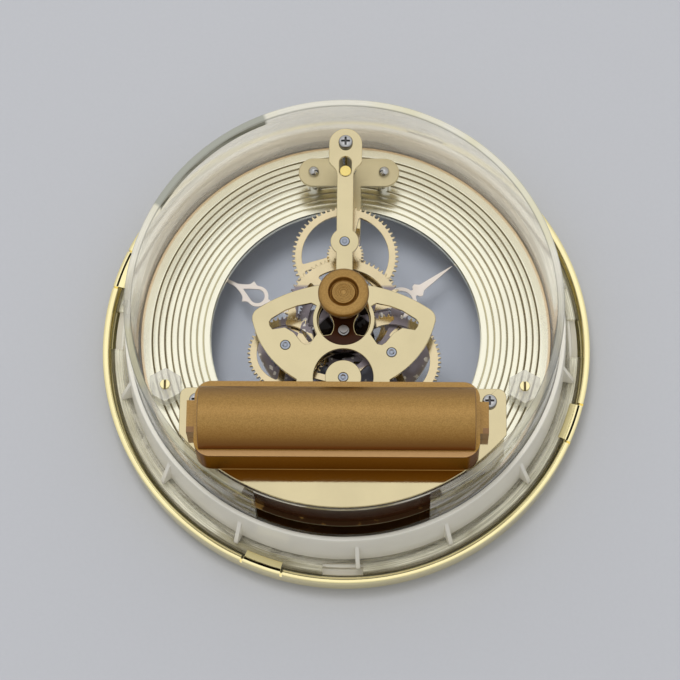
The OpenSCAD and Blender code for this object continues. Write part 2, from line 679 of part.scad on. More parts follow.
module motor_housing() {
    color("saddlebrown") difference() {
        translate([0, 0, front_top]) linear_extrude(rear_z - front_top) housing_shape(0);
        translate([0, 0, front_top + housing_wall]) linear_extrude(rear_z - front_top) housing_shape(housing_wall);
        translate([0, -lower_y, lower_z - 1.2]) cylinder(r = 13.4, h = 10);
        translate([rotor_at[0], rotor_at[1], front_top - 1]) cylinder(r = 0.65, h = 4);
        for (p = [post_at[1], post_at[2]]) translate([p[0], p[1], front_top - 1]) cylinder(r = 1.7, h = 30);
    }
    color("saddlebrown") for (p = [[-27, -46], [-11, -46], [-27, -38.5], [-11, -38.5]])
        translate([p[0], p[1], front_top + housing_wall - 0.1]) cylinder(r = 1.3, h = board_z - front_top - housing_wall + 0.1);
    color("saddlebrown") for (x = [0, core_x[1] - 1.9])
        translate([x, coil_y, front_top + housing_wall - 0.1]) cylinder(r = 1.3, h = stator_z - front_top - housing_wall + 0.1);
}

module circuit_board() {
    color("darkgreen") difference() {
        translate([-30.5, -49, board_z]) cube([23, 13, board_t]);
        for (x = lead_x) translate([x, lead_y, board_z - 1]) cylinder(r = 0.5, h = 4);
    }
}

module crystal_can() {
    color("silver") translate([-15, -39, board_z + board_t + 1.1]) rotate([0, 90, 0]) cylinder(r = 1.1, h = 6);
}

module control_chip() {
    color("black") translate([-23.5, -42.6, board_z + board_t]) rotate_extrude()
        polygon(concat([[0, 0]], arc([0, -2.3], 3.7, 38.5, 90, 8)));
}

// Rounded block of the battery box's outline, drawn in by inset
module box_block(inset, z0, z1) {
    x0 = box_x - box_l / 2 + inset;
    y0 = box_y0 + inset;
    l = box_l - 2 * inset;
    w = box_w - 2 * inset;
    r = 4.8 - inset;
    translate([x0, y0 + r, z0]) cube([l, w - 2 * r, z1 - z0]);
    translate([x0 + r, y0, z0]) cube([l - 2 * r, w, z1 - z0]);
    for (x = [x0 + r, x0 + l - r], y = [y0 + r, y0 + w - r]) translate([x, y, z0]) cylinder(r = r, h = z1 - z0);
}

module battery_tray() {
    color(bronze) difference() {
        union() {
            box_block(cover_t + 0.25, rear_top, rear_top + tray_t);
            for (x = [cell_x[0] + 4, cell_x[1] - 8])
                translate([x, cell_y - 7, rear_top + tray_t - 0.1]) cube([4, 14, 7]);
            for (x = [cell_x[0] - contact_gap - 1.6, cell_x[1] + 2])
                translate([x, cell_y - 7, rear_top + tray_t - 0.1]) cube([1.2, 14, 13]);
        }
        translate([cell_x[0], cell_y, cell_z]) rotate([0, 90, 0]) cylinder(r = cell_r + 0.15, h = 48.5);
        translate([cell_x[0] - 1, lead_y - 0.8, rear_top + tray_t]) cube([50, 1.6, 1.4]);
        for (x = lead_x) translate([x, lead_y, rear_top - 1]) cylinder(r = 0.6, h = 4);
    }
}

module battery_cover() {
    x0 = box_x - box_l / 2;
    color(bronze) difference() {
        union() {
            box_block(0, rear_top + 0.05, box_shelf_z);
            translate([x0 + 1.4, cell_y, box_shelf_z]) rotate([0, 90, 0]) cylinder(r = dome_r, h = box_l - 2.8);
            for (x = [x0 - 2.8, x0 + box_l - 0.1]) translate([x, -41.8, rear_top + 0.05]) cube([2.9, 9.6, 5.5]);
        }
        box_block(cover_t, rear_top - 1, box_shelf_z - cover_t);
        translate([x0 + 2.9, cell_y, box_shelf_z]) rotate([0, 90, 0])
            cylinder(r = dome_r - cover_t, h = box_l - 5.8);
        for (s = [-1, 1]) translate([s * base_x, base_y, rear_top]) cylinder(r = screw_head_r + 0.25, h = 2.1);
    }
}

module battery() {
    color("seagreen") translate([cell_x[0], cell_y, cell_z]) rotate([0, 90, 0]) rotate_extrude()
        polygon([[0, 0], [5, 0], [5, 0.3], [6.7, 0.3], [cell_r, 0.8], [cell_r, 48], [6.6, 48.5], [2.75, 48.5],
            [2.75, 49.8], [2.4, 50.1], [0, 50.1]]);
}

module contact_plate() {
    color("silver") translate([cell_x[1] + 1.6, cell_y - 4, rear_top + tray_t]) cube([0.4, 8, 13.6]);
}

// Negative contact: a plate and a conical spring against the cell, one round wire
spring_turns = 2.5;
spring_steps = 20;
spring_sides = 6;
spring_wire = 0.3;
function spring_at(t) = [0.25 + (contact_gap - 0.7) * t, (4.2 - 1.7 * t) * cos(360 * spring_turns * t),
    (4.2 - 1.7 * t) * sin(360 * spring_turns * t)];
spring_gap = min([for (i = [0:spring_steps], j = [0:spring_steps]) if (j - i >= spring_steps / spring_turns / 2)
    norm(spring_at(i / spring_steps) - spring_at(j / spring_steps))]) - 2 * spring_wire;
echo(spring_gap = spring_gap);

module contact_spring() {
    ring = [for (i = [0:spring_steps], k = [0:spring_sides - 1]) let (a = 360 * spring_turns * i / spring_steps,
        b = 360 * k / spring_sides)
        spring_at(i / spring_steps) + spring_wire * [sin(b), cos(b) * cos(a), cos(b) * sin(a)]];
    walls = [for (i = [0:spring_steps - 1], k = [0:spring_sides - 1]) let (a = i * spring_sides + k,
        b = i * spring_sides + (k + 1) % spring_sides)
        each [[a, b, b + spring_sides], [a, b + spring_sides, a + spring_sides]]];
    last = spring_steps * spring_sides;
    caps = [for (k = [1:spring_sides - 2]) each [[0, k + 1, k], [last, last + k, last + k + 1]]];
    color("silver") {
        translate([cell_x[0] - contact_gap - 0.4, cell_y - 4.5, rear_top + tray_t]) cube([0.4, 9, 14]);
        translate([cell_x[0] - contact_gap, cell_y, cell_z]) polyhedron(ring, concat(walls, caps));
    }
}

// Two insulated wires from the contacts through the plate to the board
module battery_leads() {
    z = rear_top + tray_t + 0.6;
    ends = [[cell_x[0] - contact_gap, lead_x[0]], [cell_x[1] + 1.6, lead_x[1]]];
    color("firebrick") for (e = ends) {
        translate([min(e[0], e[1]), lead_y, z]) rotate([0, 90, 0]) cylinder(r = 0.5, h = abs(e[1] - e[0]));
        translate([e[1], lead_y, z]) sphere(r = 0.5);
        translate([e[1], lead_y, board_z + 0.2]) cylinder(r = 0.5, h = z - board_z - 0.2);
    }
}

bezel();
lens();
lens_ring();
case_cup();
fit_ring();
dial_ring();
hour_markers();
hex_nuts();
dial_screws();
front_plate();
rear_plate();
arm_pillars();
arm_screws();
head_pillar();
head_screw();
base_pillars();
base_screws();
plate_posts();
centre_bridge();
bridge_screw();
centre_arbor();
centre_wheel();
minute_hand();
hand_nut();
setting_knob();
hour_wheel();
hour_hand();
top_wheel();
top_arbor();
left_wheel();
left_arbor();
right_wheel();
right_arbor();
lower_wheel();
lower_arbor();
rotor_magnet();
rotor_shaft();
stator();
coil_core();
coil_bobbin();
coil_winding();
motor_housing();
circuit_board();
crystal_can();
control_chip();
battery_tray();
battery_cover();
battery();
contact_plate();
contact_spring();
battery_leads();
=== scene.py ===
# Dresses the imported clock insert: gold bezel, clear cup, skeleton movement, battery box.
import bpy
import bmesh
import json
import math
from mathutils import Matrix, Vector


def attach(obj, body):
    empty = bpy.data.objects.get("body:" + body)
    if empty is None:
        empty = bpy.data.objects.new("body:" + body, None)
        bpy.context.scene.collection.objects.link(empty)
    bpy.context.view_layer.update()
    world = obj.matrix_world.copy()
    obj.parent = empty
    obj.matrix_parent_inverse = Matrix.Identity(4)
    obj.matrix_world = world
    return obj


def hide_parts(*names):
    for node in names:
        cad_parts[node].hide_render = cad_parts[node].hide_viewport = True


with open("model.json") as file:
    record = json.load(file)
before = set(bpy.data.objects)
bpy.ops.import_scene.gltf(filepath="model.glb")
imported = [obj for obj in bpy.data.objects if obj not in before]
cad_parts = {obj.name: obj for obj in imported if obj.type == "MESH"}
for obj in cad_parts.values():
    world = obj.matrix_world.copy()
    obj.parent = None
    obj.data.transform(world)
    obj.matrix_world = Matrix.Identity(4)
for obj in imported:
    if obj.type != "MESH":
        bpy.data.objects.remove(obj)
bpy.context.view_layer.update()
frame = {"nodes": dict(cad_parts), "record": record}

mm = 0.001
nodes = frame["nodes"]
bodyOf = {name: body for body, names in frame["record"]["behaviour"]["bodies"].items() for name in names}
slotOf = {row["node"]: row["material_slot"] for row in frame["record"]["subparts"]}


# A value in a node tree, so that finishes and grown shapes are written as sums
class Signal:
    def __init__(self, maker, socket):
        self.maker, self.socket = maker, socket

    def calc(self, how, other=0.0, swap=False):
        pair = {0: other, 1: self} if swap else {0: self, 1: other}
        return self.maker.node("ShaderNodeMath", pair, operation=how)

    def band(self, low, high, first=0.0, last=1.0):
        return self.maker.node("ShaderNodeMapRange", {0: self, 1: low, 2: high, 3: first, 4: last})

    def rise(self, low, high, first=0.0, last=1.0):  # places in mm
        return self.band(low * mm, high * mm, first, last)

    def fall(self, low, high, first=1.0, last=0.0):  # places in mm
        return self.band(low * mm, high * mm, first, last)

    def sweep(self, low, high, first=0.0, last=1.0):  # places in degrees
        return self.band(math.radians(low), math.radians(high), first, last)

    def mix(self, first, second):
        pair = [value if isinstance(value, Signal) else (*value, 1) for value in (first, second)]
        sockets = {0: self, 6: pair[0], 7: pair[1]}
        return self.maker.node("ShaderNodeMix", sockets, out=2, data_type="RGBA")


operators = {
    "add": "ADD", "sub": "SUBTRACT", "mul": "MULTIPLY", "truediv": "DIVIDE", "pow": "POWER",
    "mod": "FLOORED_MODULO", "gt": "GREATER_THAN", "lt": "LESS_THAN"}
for mark, how in operators.items():
    setattr(Signal, f"__{mark}__", lambda self, other, how=how: self.calc(how, other))
for mark in ("sub", "mul", "truediv"):
    setattr(Signal, f"__r{mark}__", lambda self, other, how=operators[mark]: self.calc(how, other, True))


class Maker:
    def node(self, kind, sockets=None, out=0, **settings):
        made = self.tree.nodes.new(kind)
        for key, value in settings.items():
            setattr(made, key, value)
        for key, value in (sockets or {}).items():
            for each in value if isinstance(value, list) else [value]:
                if isinstance(each, Signal):
                    self.tree.links.new(each.socket, made.inputs[key])
                else:
                    made.inputs[key].default_value = each
        return Signal(self, made.outputs[out]) if len(made.outputs) else made

    def also(self, signal, out):
        return Signal(self, signal.socket.node.outputs[out])


class Finish(Maker):
    def __init__(self, name, tree=None):
        if tree is None:
            self.material = bpy.data.materials.new(name)
            self.material.use_nodes = True
            tree = self.material.node_tree
        self.tree = tree
        self.tree.nodes.clear()


class Grower(Maker):
    kinds = {float: "NodeSocketFloat", int: "NodeSocketInt"}

    def __init__(self, name, sizes):
        self.tree = bpy.data.node_groups.new(name, "GeometryNodeTree")
        self.keys = {}
        self.entrance("Base", "NodeSocketGeometry")
        for label, value in sizes.items():
            self.entrance(label, self.kinds[type(value)]).default_value = value
        self.entrance("Item", "NodeSocketObject")
        self.entrance("Finish", "NodeSocketMaterial")
        self.tree.interface.new_socket("Piece", in_out="OUTPUT", socket_type="NodeSocketGeometry")
        self.entry = self.tree.nodes.new("NodeGroupInput")

    def entrance(self, label, kind):
        made = self.tree.interface.new_socket(label, in_out="INPUT", socket_type=kind)
        self.keys[label] = made.identifier
        return made

    def size(self, label):
        return Signal(self, self.entry.outputs[label])

    def vector(self, x=0.0, y=0.0, z=0.0):
        return self.node("ShaderNodeCombineXYZ", {0: x, 1: y, 2: z})

    def close(self, shape):
        shape = self.node("GeometryNodeRealizeInstances", {0: shape})
        shape = self.node("GeometryNodeSetMaterial", {0: shape, "Material": self.size("Finish")})
        self.node("NodeGroupOutput", {0: shape})
        return self

    def bake(self, slot, base=None, item=None, **sizes):
        holder = added("holder", base or bpy.data.meshes.new("holder"))
        grow = holder.modifiers.new("grow", "NODES")
        grow.node_group = self.tree
        for label, value in {**sizes, "Item": item, "Finish": finishes[slot]}.items():
            if value is not None:
                grow[self.keys[label]] = value
        mesh = shapeOf(holder)
        bpy.data.objects.remove(holder)
        return mesh


def added(name, data):
    made = bpy.data.objects.new(name, data)
    bpy.context.scene.collection.objects.link(made)
    return made


def shapeOf(thing):
    bpy.context.view_layer.update()
    return bpy.data.meshes.new_from_object(thing.evaluated_get(bpy.context.evaluated_depsgraph_get()))


def place(maker, centre=(0, 0)):
    spot = maker.node("ShaderNodeTexCoord", out=3)
    return maker.node("ShaderNodeMapping", {0: spot, 1: (-centre[0] * mm, -centre[1] * mm, 0)})


def spotOf(maker, centre=(0, 0)):
    side = maker.node("ShaderNodeSeparateXYZ", {0: place(maker, centre)})
    return side, maker.also(side, 1), maker.also(side, 2)


def reachFrom(maker, centre=(0, 0)):
    side, north, up = spotOf(maker, centre)
    return (side * side + north * north) ** 0.5


def facingUp(maker):
    facing = maker.node("ShaderNodeSeparateXYZ", {0: maker.node("ShaderNodeTexCoord", out=1)})
    return maker.also(facing, 2)


def grain(maker, scale, detail, spot=None):
    sockets = {"Vector": spot or place(maker), "Scale": scale, "Detail": detail}
    return maker.node("ShaderNodeTexNoise", sockets)


def cells(maker, scale):
    colours = maker.node("ShaderNodeTexVoronoi", {"Vector": place(maker), "Scale": scale}, out=1)
    return maker.node("ShaderNodeSeparateColor", {0: colours})


def bumped(maker, height, depth, strength):
    return maker.node("ShaderNodeBump", {"Strength": strength, "Distance": depth, "Height": height})


def principled(maker, sockets):
    whole = {key: (*value, 1) if isinstance(value, tuple) and len(value) == 3 else value
             for key, value in sockets.items()}
    return maker.node("ShaderNodeBsdfPrincipled", whole)


def surface(maker, sockets):
    maker.node("ShaderNodeOutputMaterial", {0: principled(maker, sockets)})
    return maker.material


finishes = {}

# Metals: colour, roughness, how far it wanders, scale of the smudges, depth of the long waves
metalSet = {
    "gold_polished": dict(colour=(1.0, 0.885, 0.49), rough=0.08, wander=0.06, smudge=60, wave=0.25),
    "gold_satin": dict(colour=(0.67, 0.575, 0.35), rough=0.07, wander=0.05, smudge=90, wave=0.02),
    "gold_wheel": dict(colour=(0.73, 0.61, 0.385), rough=0.16, wander=0.08, smudge=150, wave=0.02),
    "brass_plain": dict(colour=(0.86, 0.68, 0.24), rough=0.15, wander=0.06, smudge=150, wave=0.02),
    "nickel": dict(colour=(0.6, 0.6, 0.6), rough=0.06, wander=0.05, smudge=300, wave=0.02),
    "steel": dict(colour=(0.38, 0.41, 0.47), rough=0.22, wander=0.08, smudge=300, wave=0.02),
    "soft_iron": dict(colour=(0.42, 0.43, 0.46), rough=0.38, wander=0.12, smudge=200, wave=0.05),
}

# Painted reflection and painted shade for what the polished brass mirrors between the plates: dark shards
# with painted glints, a smoky lower wheel, a brown bay at six o'clock with painted amber glints, and a
# black well of painted shade in the middle. Spans are in mm.
shadeSet = dict(
    plate=(0.27, 0.235, 0.255), paintedGlint=(0.8, 0.76, 0.68), paintedSmoke=(0.3, 0.31, 0.38),
    paintedShadowWell=(0.012, 0.008, 0.006), paintedShadeBay=(0.055, 0.024, 0.008), paintedAmberGlint=(0.34, 0.19, 0.05), chips=1100.0,
    glintFrom=(0.93, 0.96), shards=240.0, shardTo=(0.6, 0.63), clouds=260, amberFrom=(0.6, 0.66),
    topLow=(29.7, 29.8), topHigh=(30.3, 30.4), openWithin=(26, 31), wheelAt=(0, -23.2),
    wheelWithin=(13, 14), baySouth=(-46, -45), shardWithin=(19, 20), shardSouth=(8, 9), wellAt=(0, -5.4),
    wellWithin=(9.2, 9.8), wellLow=(29, 29.5), wellHigh=(47, 48), dielectric=0.9)


def shaded(maker, slot, colour, reach, north, up):
    look = shadeSet
    # painted glints over a dark painted reflection, for the brass seen through the plates' windows
    paintedGlints = cells(maker, look["chips"]).band(*look["glintFrom"])
    dim = paintedGlints.mix(look["plate"], look["paintedGlint"])
    if slot == "gold_satin":
        # painted shade: the lower wheel under the ring slot is painted smoky dark
        wheel = reachFrom(maker, look["wheelAt"]).fall(*look["wheelWithin"])
        dim = wheel.mix(dim, paintedGlints.mix(look["paintedSmoke"], look["paintedGlint"]))
        # painted shade: a dark brown bay at six o'clock, with painted amber glints
        paintedShadeBay = north.fall(*look["baySouth"])
        paintedAmberGlint = grain(maker, look["clouds"], 3).band(*look["amberFrom"])
        dim = paintedShadeBay.mix(dim, paintedAmberGlint.mix(look["paintedShadeBay"], look["paintedAmberGlint"]))
        onTop = up.rise(*look["topLow"]) * up.fall(*look["topHigh"])
        inside = onTop * reach.fall(*look["openWithin"]).calc("MAXIMUM", paintedShadeBay)
    else:
        inside = reach.fall(*look["shardWithin"]) * north.fall(*look["shardSouth"])
        inside = inside * cells(maker, look["shards"]).band(*look["shardTo"], 1, 0)
    # painted shade: the black well in the middle
    paintedShadowWell = reachFrom(maker, look["wellAt"]).fall(*look["wellWithin"])
    paintedShadowWell = paintedShadowWell * up.rise(*look["wellLow"]) * up.fall(*look["wellHigh"])
    metal = 1 - inside.calc("MAXIMUM", paintedShadowWell) * look["dielectric"]
    return paintedShadowWell.mix(inside.mix(colour, dim), look["paintedShadowWell"]), metal


# Screws: a softer bridge screw, painted shade darkening the sides and recesses of the cross heads, and
# painted shade in the slots of the dial screws
screwSet = dict(
    bridge=(0, -8.6), bridgeWithin=(3, 3.5), bridgeRough=0.3, armsSide=10.8, armsWithin=(3, 4),
    base=(42.6, -30.6), head=(0, 50.6), recess=(1.55, 1.6), recessLow=(51.2, 51.3),
    recessHigh=(52.45, 52.5), paintedShadeDark=(0.03, 0.03, 0.03), steep=(0.25, 0.85), sideDepth=0.85,
    recessDepth=0.9, slotSide=54.2, slotHalf=(0.3, 0.36), slotAbove=(20, 21), paintedSlotShade=(0.16, 0.12, 0.05))


def crossHeads(maker, colour):
    screw = screwSet
    side, north, up = spotOf(maker)
    offArms = (side.calc("ABSOLUTE") - screw["armsSide"] * mm).calc("ABSOLUTE").rise(*screw["armsWithin"])
    # painted shade on the steep sides of the cross heads
    steep = facingUp(maker).band(*screw["steep"], 1, 0) * offArms * screw["sideDepth"]
    fromBase = (side.calc("ABSOLUTE") - screw["base"][0] * mm) ** 2 + (north - screw["base"][1] * mm) ** 2
    fromHead = (side - screw["head"][0] * mm) ** 2 + (north - screw["head"][1] * mm) ** 2
    # painted shade in the recesses of the base and head screws
    near = fromBase.calc("MINIMUM", fromHead).band(*((far * mm) ** 2 for far in screw["recess"]), 1, 0)
    recess = near * up.rise(*screw["recessLow"]) * up.fall(*screw["recessHigh"])
    return steep.calc("MAXIMUM", recess * screw["recessDepth"]).mix(colour, screw["paintedShadeDark"])


# Wear that all metals share, and the hazier outer part of the front plate, in mm
wearSet = dict(
    clouds=(0.35, 0.7), dull=0.93, fine=25, spread=(0.3, 0.7), shine=0.1, waves=45, dents=0.01,
    depth=0.0005, strength=0.5, hazeFrom=(33, 36), hazeBelow=(32, 33), haze=0.3)


def metalFinish(slot, look):
    wear = wearSet
    maker = Finish(slot)
    side, north, up = spotOf(maker)
    reach = reachFrom(maker)
    smudges = grain(maker, look["smudge"], 4)
    fine = grain(maker, look["smudge"] * wear["fine"], 2)
    dull = tuple(channel * wear["dull"] for channel in look["colour"])
    colour = smudges.band(*wear["clouds"]).mix(look["colour"], dull)
    sleek, worn = look["rough"] - look["wander"] * 0.4, look["rough"] + look["wander"] * 0.6
    rough = (smudges * 0.6 + fine * 0.4).band(*wear["spread"], sleek, worn)
    height = fine * wear["dents"] + grain(maker, wear["waves"], 2) * look["wave"]
    metal = 1.0
    if slot == "gold_satin":
        rough = rough + reach.rise(*wear["hazeFrom"], 0, wear["haze"]) * up.fall(*wear["hazeBelow"])
    if slot in ("gold_satin", "gold_wheel"):
        colour, metal = shaded(maker, slot, colour, reach, north, up)
    if slot == "nickel":
        atBridge = reachFrom(maker, screwSet["bridge"])
        rough = rough + atBridge.fall(*screwSet["bridgeWithin"], screwSet["bridgeRough"])
        colour = crossHeads(maker, colour)
    if slot == "gold_polished":
        # painted shade in the slots of the dial screws
        fromSlot = (side.calc("ABSOLUTE") - screwSet["slotSide"] * mm).calc("ABSOLUTE")
        cut = fromSlot.fall(*screwSet["slotHalf"]) * up.rise(*screwSet["slotAbove"])
        colour = cut.mix(colour, screwSet["paintedSlotShade"])
    finishes[slot] = surface(maker, {
        "Base Color": colour,
        "Metallic": metal,
        "Specular IOR Level": wear["shine"],
        "Roughness": rough,
        "Normal": bumped(maker, height, wear["depth"], wear["strength"])})


for slot, look in metalSet.items():
    metalFinish(slot, look)

# Dial ring: painted shade in the grooves that deepens outwards, a coppery edge, and a brown bay of painted
# shade where the window shows it
dialSet = dict(
    colour=(0.94, 0.91, 0.74), paintedShadeDark=(0.36, 0.31, 0.21), rim=(0.8, 0.64, 0.44), paintedShadeBay=(0.2, 0.095, 0.035),
    rough=(0.21, 0.29), smudge=70, first=43.4 * mm, pitch=1.95 * mm, half=0.34 * mm,
    grooveFrom=(42.6, 43), grooveTo=(59.6, 59.8), deepens=(43, 56), faintest=0.3, rimFrom=(61.5, 61.9),
    bayHalf=(27, 27.5), bayFrom=(55, 55.3), bayAbove=(18.2, 18.4))


def dialFinish():
    look = dialSet
    maker = Finish("gold_dial")
    side, north, up = spotOf(maker)
    reach = reachFrom(maker)
    fromSix = (north.calc("ARCTAN2", side) + math.pi / 2).calc("ABSOLUTE")
    inGroove = (reach - (look["first"] - look["pitch"] / 2)) % look["pitch"] - look["pitch"] / 2
    # painted shade in the grooves, deeper outwards
    groove = inGroove.calc("ABSOLUTE").band(look["half"] * 0.25, look["half"], 1, 0)
    groove = groove * reach.rise(*look["grooveFrom"]) * reach.fall(*look["grooveTo"])
    colour = reach.rise(*look["rimFrom"]).mix(look["colour"], look["rim"])
    colour = (groove * reach.rise(*look["deepens"], look["faintest"], 1)).mix(colour, look["paintedShadeDark"])
    # painted shade: a dark brown bay at six o'clock
    paintedShadeBay = fromSix.sweep(*look["bayHalf"], 1, 0) * reach.rise(*look["bayFrom"]) * up.rise(*look["bayAbove"])
    finishes["gold_dial"] = surface(maker, {
        "Base Color": paintedShadeBay.mix(colour, look["paintedShadeBay"]),
        "Metallic": 1.0,
        "Roughness": grain(maker, look["smudge"], 4).band(0.3, 0.7, *look["rough"])})


# Mouldings: colour, second colour, roughness, coat, scale of the clouds, shine if not the usual
plasticSet = {
    "white_plastic": dict(
        colour=(0.83, 0.8, 0.71), mottle=(0.78, 0.75, 0.65), rough=0.32, coat=0.1, scale=40),
    "bronze_dark": dict(
        colour=(0.04, 0.012, 0.004), mottle=(0.02, 0.006, 0.002), rough=0.2, coat=0, scale=60, shine=0.12),
    "hand_paint": dict(
        colour=(0.9, 0.82, 0.75), mottle=(0.86, 0.77, 0.69), rough=0.38, coat=0.1, scale=120),
    "copper_wire": dict(
        colour=(0.45, 0.17, 0.06), mottle=(0.36, 0.12, 0.04), rough=0.25, coat=0.3, scale=300),
    "board_green": dict(
        colour=(0.03, 0.17, 0.07), mottle=(0.02, 0.12, 0.05), rough=0.4, coat=0.2, scale=200),
    "black_epoxy": dict(
        colour=(0.02, 0.02, 0.02), mottle=(0.03, 0.03, 0.03), rough=0.3, coat=0.2, scale=200),
    "cell_sleeve": dict(
        colour=(0.06, 0.26, 0.2), mottle=(0.05, 0.22, 0.17), rough=0.25, coat=0.3, scale=60),
    "red_sleeve": dict(colour=(0.5, 0.04, 0.03), mottle=(0.42, 0.03, 0.02), rough=0.42, coat=0, scale=200),
    "magnet": dict(colour=(0.09, 0.09, 0.1), mottle=(0.06, 0.06, 0.06), rough=0.5, coat=0, scale=400),
}
# painted light: the collar's inner face beside the cup wall is made paler
collarPaintedLightSet = dict(within=(65.3, 65.5), colour=(0.98, 0.96, 0.9))
# painted highlight: a gold lip on the walls of the bridge's crescents
bridgeSet = dict(eyeAt=(0, -5.4), lipWithin=(8.4, 8.5), lipAbove=(49.3, 49.5), paintedLipHighlight=(0.7, 0.58, 0.3))


def plasticFinish(slot, look):
    maker = Finish(slot)
    cloud = grain(maker, look["scale"], 4)
    fine = grain(maker, look["scale"] * 40, 2)
    colour = cloud.band(0.35, 0.7).mix(look["colour"], look["mottle"])
    if slot == "white_plastic":
        # painted light on the collar's inner face
        colour = reachFrom(maker).fall(*collarPaintedLightSet["within"]).mix(colour, collarPaintedLightSet["colour"])
    if slot == "bronze_dark":
        # painted highlight on the crescent walls of the bridge
        paintedLipHighlight = reachFrom(maker, bridgeSet["eyeAt"]).fall(*bridgeSet["lipWithin"])
        paintedLipHighlight = paintedLipHighlight * spotOf(maker)[2].rise(*bridgeSet["lipAbove"]) * facingUp(maker).band(0.9, 0.97, 1, 0)
        colour = paintedLipHighlight.mix(colour, bridgeSet["paintedLipHighlight"])
    finishes[slot] = surface(maker, {
        "Base Color": colour,
        "Roughness": cloud.band(0.3, 0.7, look["rough"] * 0.85, look["rough"] * 1.2),
        "Coat Weight": look["coat"],
        "Specular IOR Level": look.get("shine", 0.5),
        "Normal": bumped(maker, fine, 0.00001, 0.25)})


for slot, look in plasticSet.items():
    plasticFinish(slot, look)

# Lacquer of the battery box: colours, flakes, coat, and where the painted shade (lower dome, lugs, front
# wall) and painted highlights (shelf, lip line) lie, in mm
lacquerSet = dict(
    base=(0.335, 0.178, 0.03), flake=(0.46, 0.26, 0.06), flopAndPaintedShade=(0.15, 0.058, 0.008),
    shade=((0.15, 0.068, 0.018), (0.27, 0.135, 0.045)), paintedDomeShade=(0.22, 0.078, 0.006), paintedLipHighlight=(0.66, 0.45, 0.2),
    shelf=(0.52, 0.31, 0.13), tint=(0.55, 0.4, 0.26), flakes=4200.0, metal=0.8, rough=0.31, coat=0.8,
    coatRough=0.28, coatIor=1.55)
boxSet = dict(
    front=(-51.0, -50.6), frontLow=(51.2, 51.5), frontHigh=(63.9, 64.2), shadeUp=(52, 63),
    lipBelow=(51.5, 51.6), shelf=(-49.6, -49.4), shelfAbove=(64.25, 64.35), flopAndPaintedShade=(-38, -34),
    paintedDomeShade=(-49, -44), deepAbove=(64.5, 65.5), coat=(-49, -43), lugSide=(40.3, 40.5), lugSouth=(-40.2, -40),
    lugBelow=(60.5, 61))


def bronzeLacquer():
    look, box = lacquerSet, boxSet
    maker = Finish("bronze_plastic")
    side, north, up = spotOf(maker)
    bright = cells(maker, look["flakes"])
    tilt = maker.node("ShaderNodeLayerWeight", {0: 0.5}, out=1).band(0.2, 0.6)
    front = north.fall(*box["front"])
    wall = front * up.rise(*box["frontLow"]) * up.fall(*box["frontHigh"])
    lug = side.calc("ABSOLUTE").rise(*box["lugSide"]) * north.fall(*box["lugSouth"])
    lug = lug * up.fall(*box["lugBelow"])
    colour = bright.mix(look["base"], look["flake"])
    # flop darkening at a slant, partly the lacquer's own flop and partly painted shade, weaker towards the
    # top
    colour = (tilt * north.fall(*box["flopAndPaintedShade"], 1, 0.35)).mix(colour, look["flopAndPaintedShade"])
    # painted shade on the lower side of the dome
    colour = (north.fall(*box["paintedDomeShade"], 0.75) * up.rise(*box["deepAbove"])).mix(colour, look["paintedDomeShade"])
    # painted highlight on the shelf
    colour = (north.fall(*box["shelf"]) * up.rise(*box["shelfAbove"])).mix(colour, look["shelf"])
    # painted shade on the lugs
    colour = lug.mix(colour, look["shade"][1])
    # painted highlight: a light line at the foot of the front wall
    colour = (front * up.fall(*box["lipBelow"])).mix(colour, look["paintedLipHighlight"])
    finishes["bronze_plastic"] = surface(maker, {
        # painted shade on the front wall, darker towards its foot
        "Base Color": wall.mix(colour, up.rise(*box["shadeUp"]).mix(*look["shade"])),
        "Metallic": wall.band(0, 1, look["metal"], 1.0),
        "Roughness": bright.band(0, 1, look["rough"], look["rough"] + 0.1),
        "Coat Weight": (1 - wall) * north.rise(*box["coat"], look["coat"] * 0.2, look["coat"]),
        "Coat Roughness": look["coatRough"],
        "Coat IOR": look["coatIor"],
        "Specular Tint": look["tint"],
        "Normal": bumped(maker, bright, 0.00001, 0.25)})


# Clear mouldings: what passes, what the surface shows, how much of it face on and at a glance, its painted
# glow
clearSet = {
    "clear_plastic": dict(through=(0.985, 0.985, 0.975), body=(0.97, 0.95, 0.88), dense=0.035, glance=0.6,
                          paintedGlow=0.15),
    "front_glass": dict(through=(0.99, 0.995, 1.0), body=(0.68, 0.74, 0.86), dense=0.16, glance=0.3,
                        paintedGlow=0.06),
}
# Colours painted on the cup's rim, flange and walls as painted refraction and reflection of the room
rimSet = dict(
    colour=(0.52, 0.49, 0.33), paintedSmoke=(0.19, 0.2, 0.16), pale=(0.56, 0.54, 0.46), warm=(0.86, 0.7, 0.5),
    streak=(0.42, 0.36, 0.17), cream=(0.88, 0.85, 0.68), tan=(0.4, 0.36, 0.22), drab=(0.55, 0.51, 0.37),
    moss=(0.13, 0.11, 0.055), thick=0.66)
# Where they lie, in mm and degrees
cupSet = dict(
    rimAbove=(50.1, 50.3), rimFrom=(60, 61), edgeAt=63.9, edgeOff=(0.75, 0.95), wall=(61.5, 62),
    flange=(66.5, 66.8), cream=(68.8, 69.1), moss=(71.2, 71.4), nutLow=(19.0, 19.3), nutHigh=(24.4, 24.6),
    nutWithin=(61, 61.5), farFrom=(-8, 12), farTo=(168, 180), farAbove=(19, 19.2), hazeUp=(23.2, 24.4),
    paleUp=(32.2, 33.2), nearAbove=(18.9, 19.1), greyFrom=(112, 113), greyTo=(151, 152),
    duskAbove=(47.2, 47.6), notchHalf=(26.2, 26.6), notchAbove=(49, 49.2), browWithin=(62.9, 63.1))
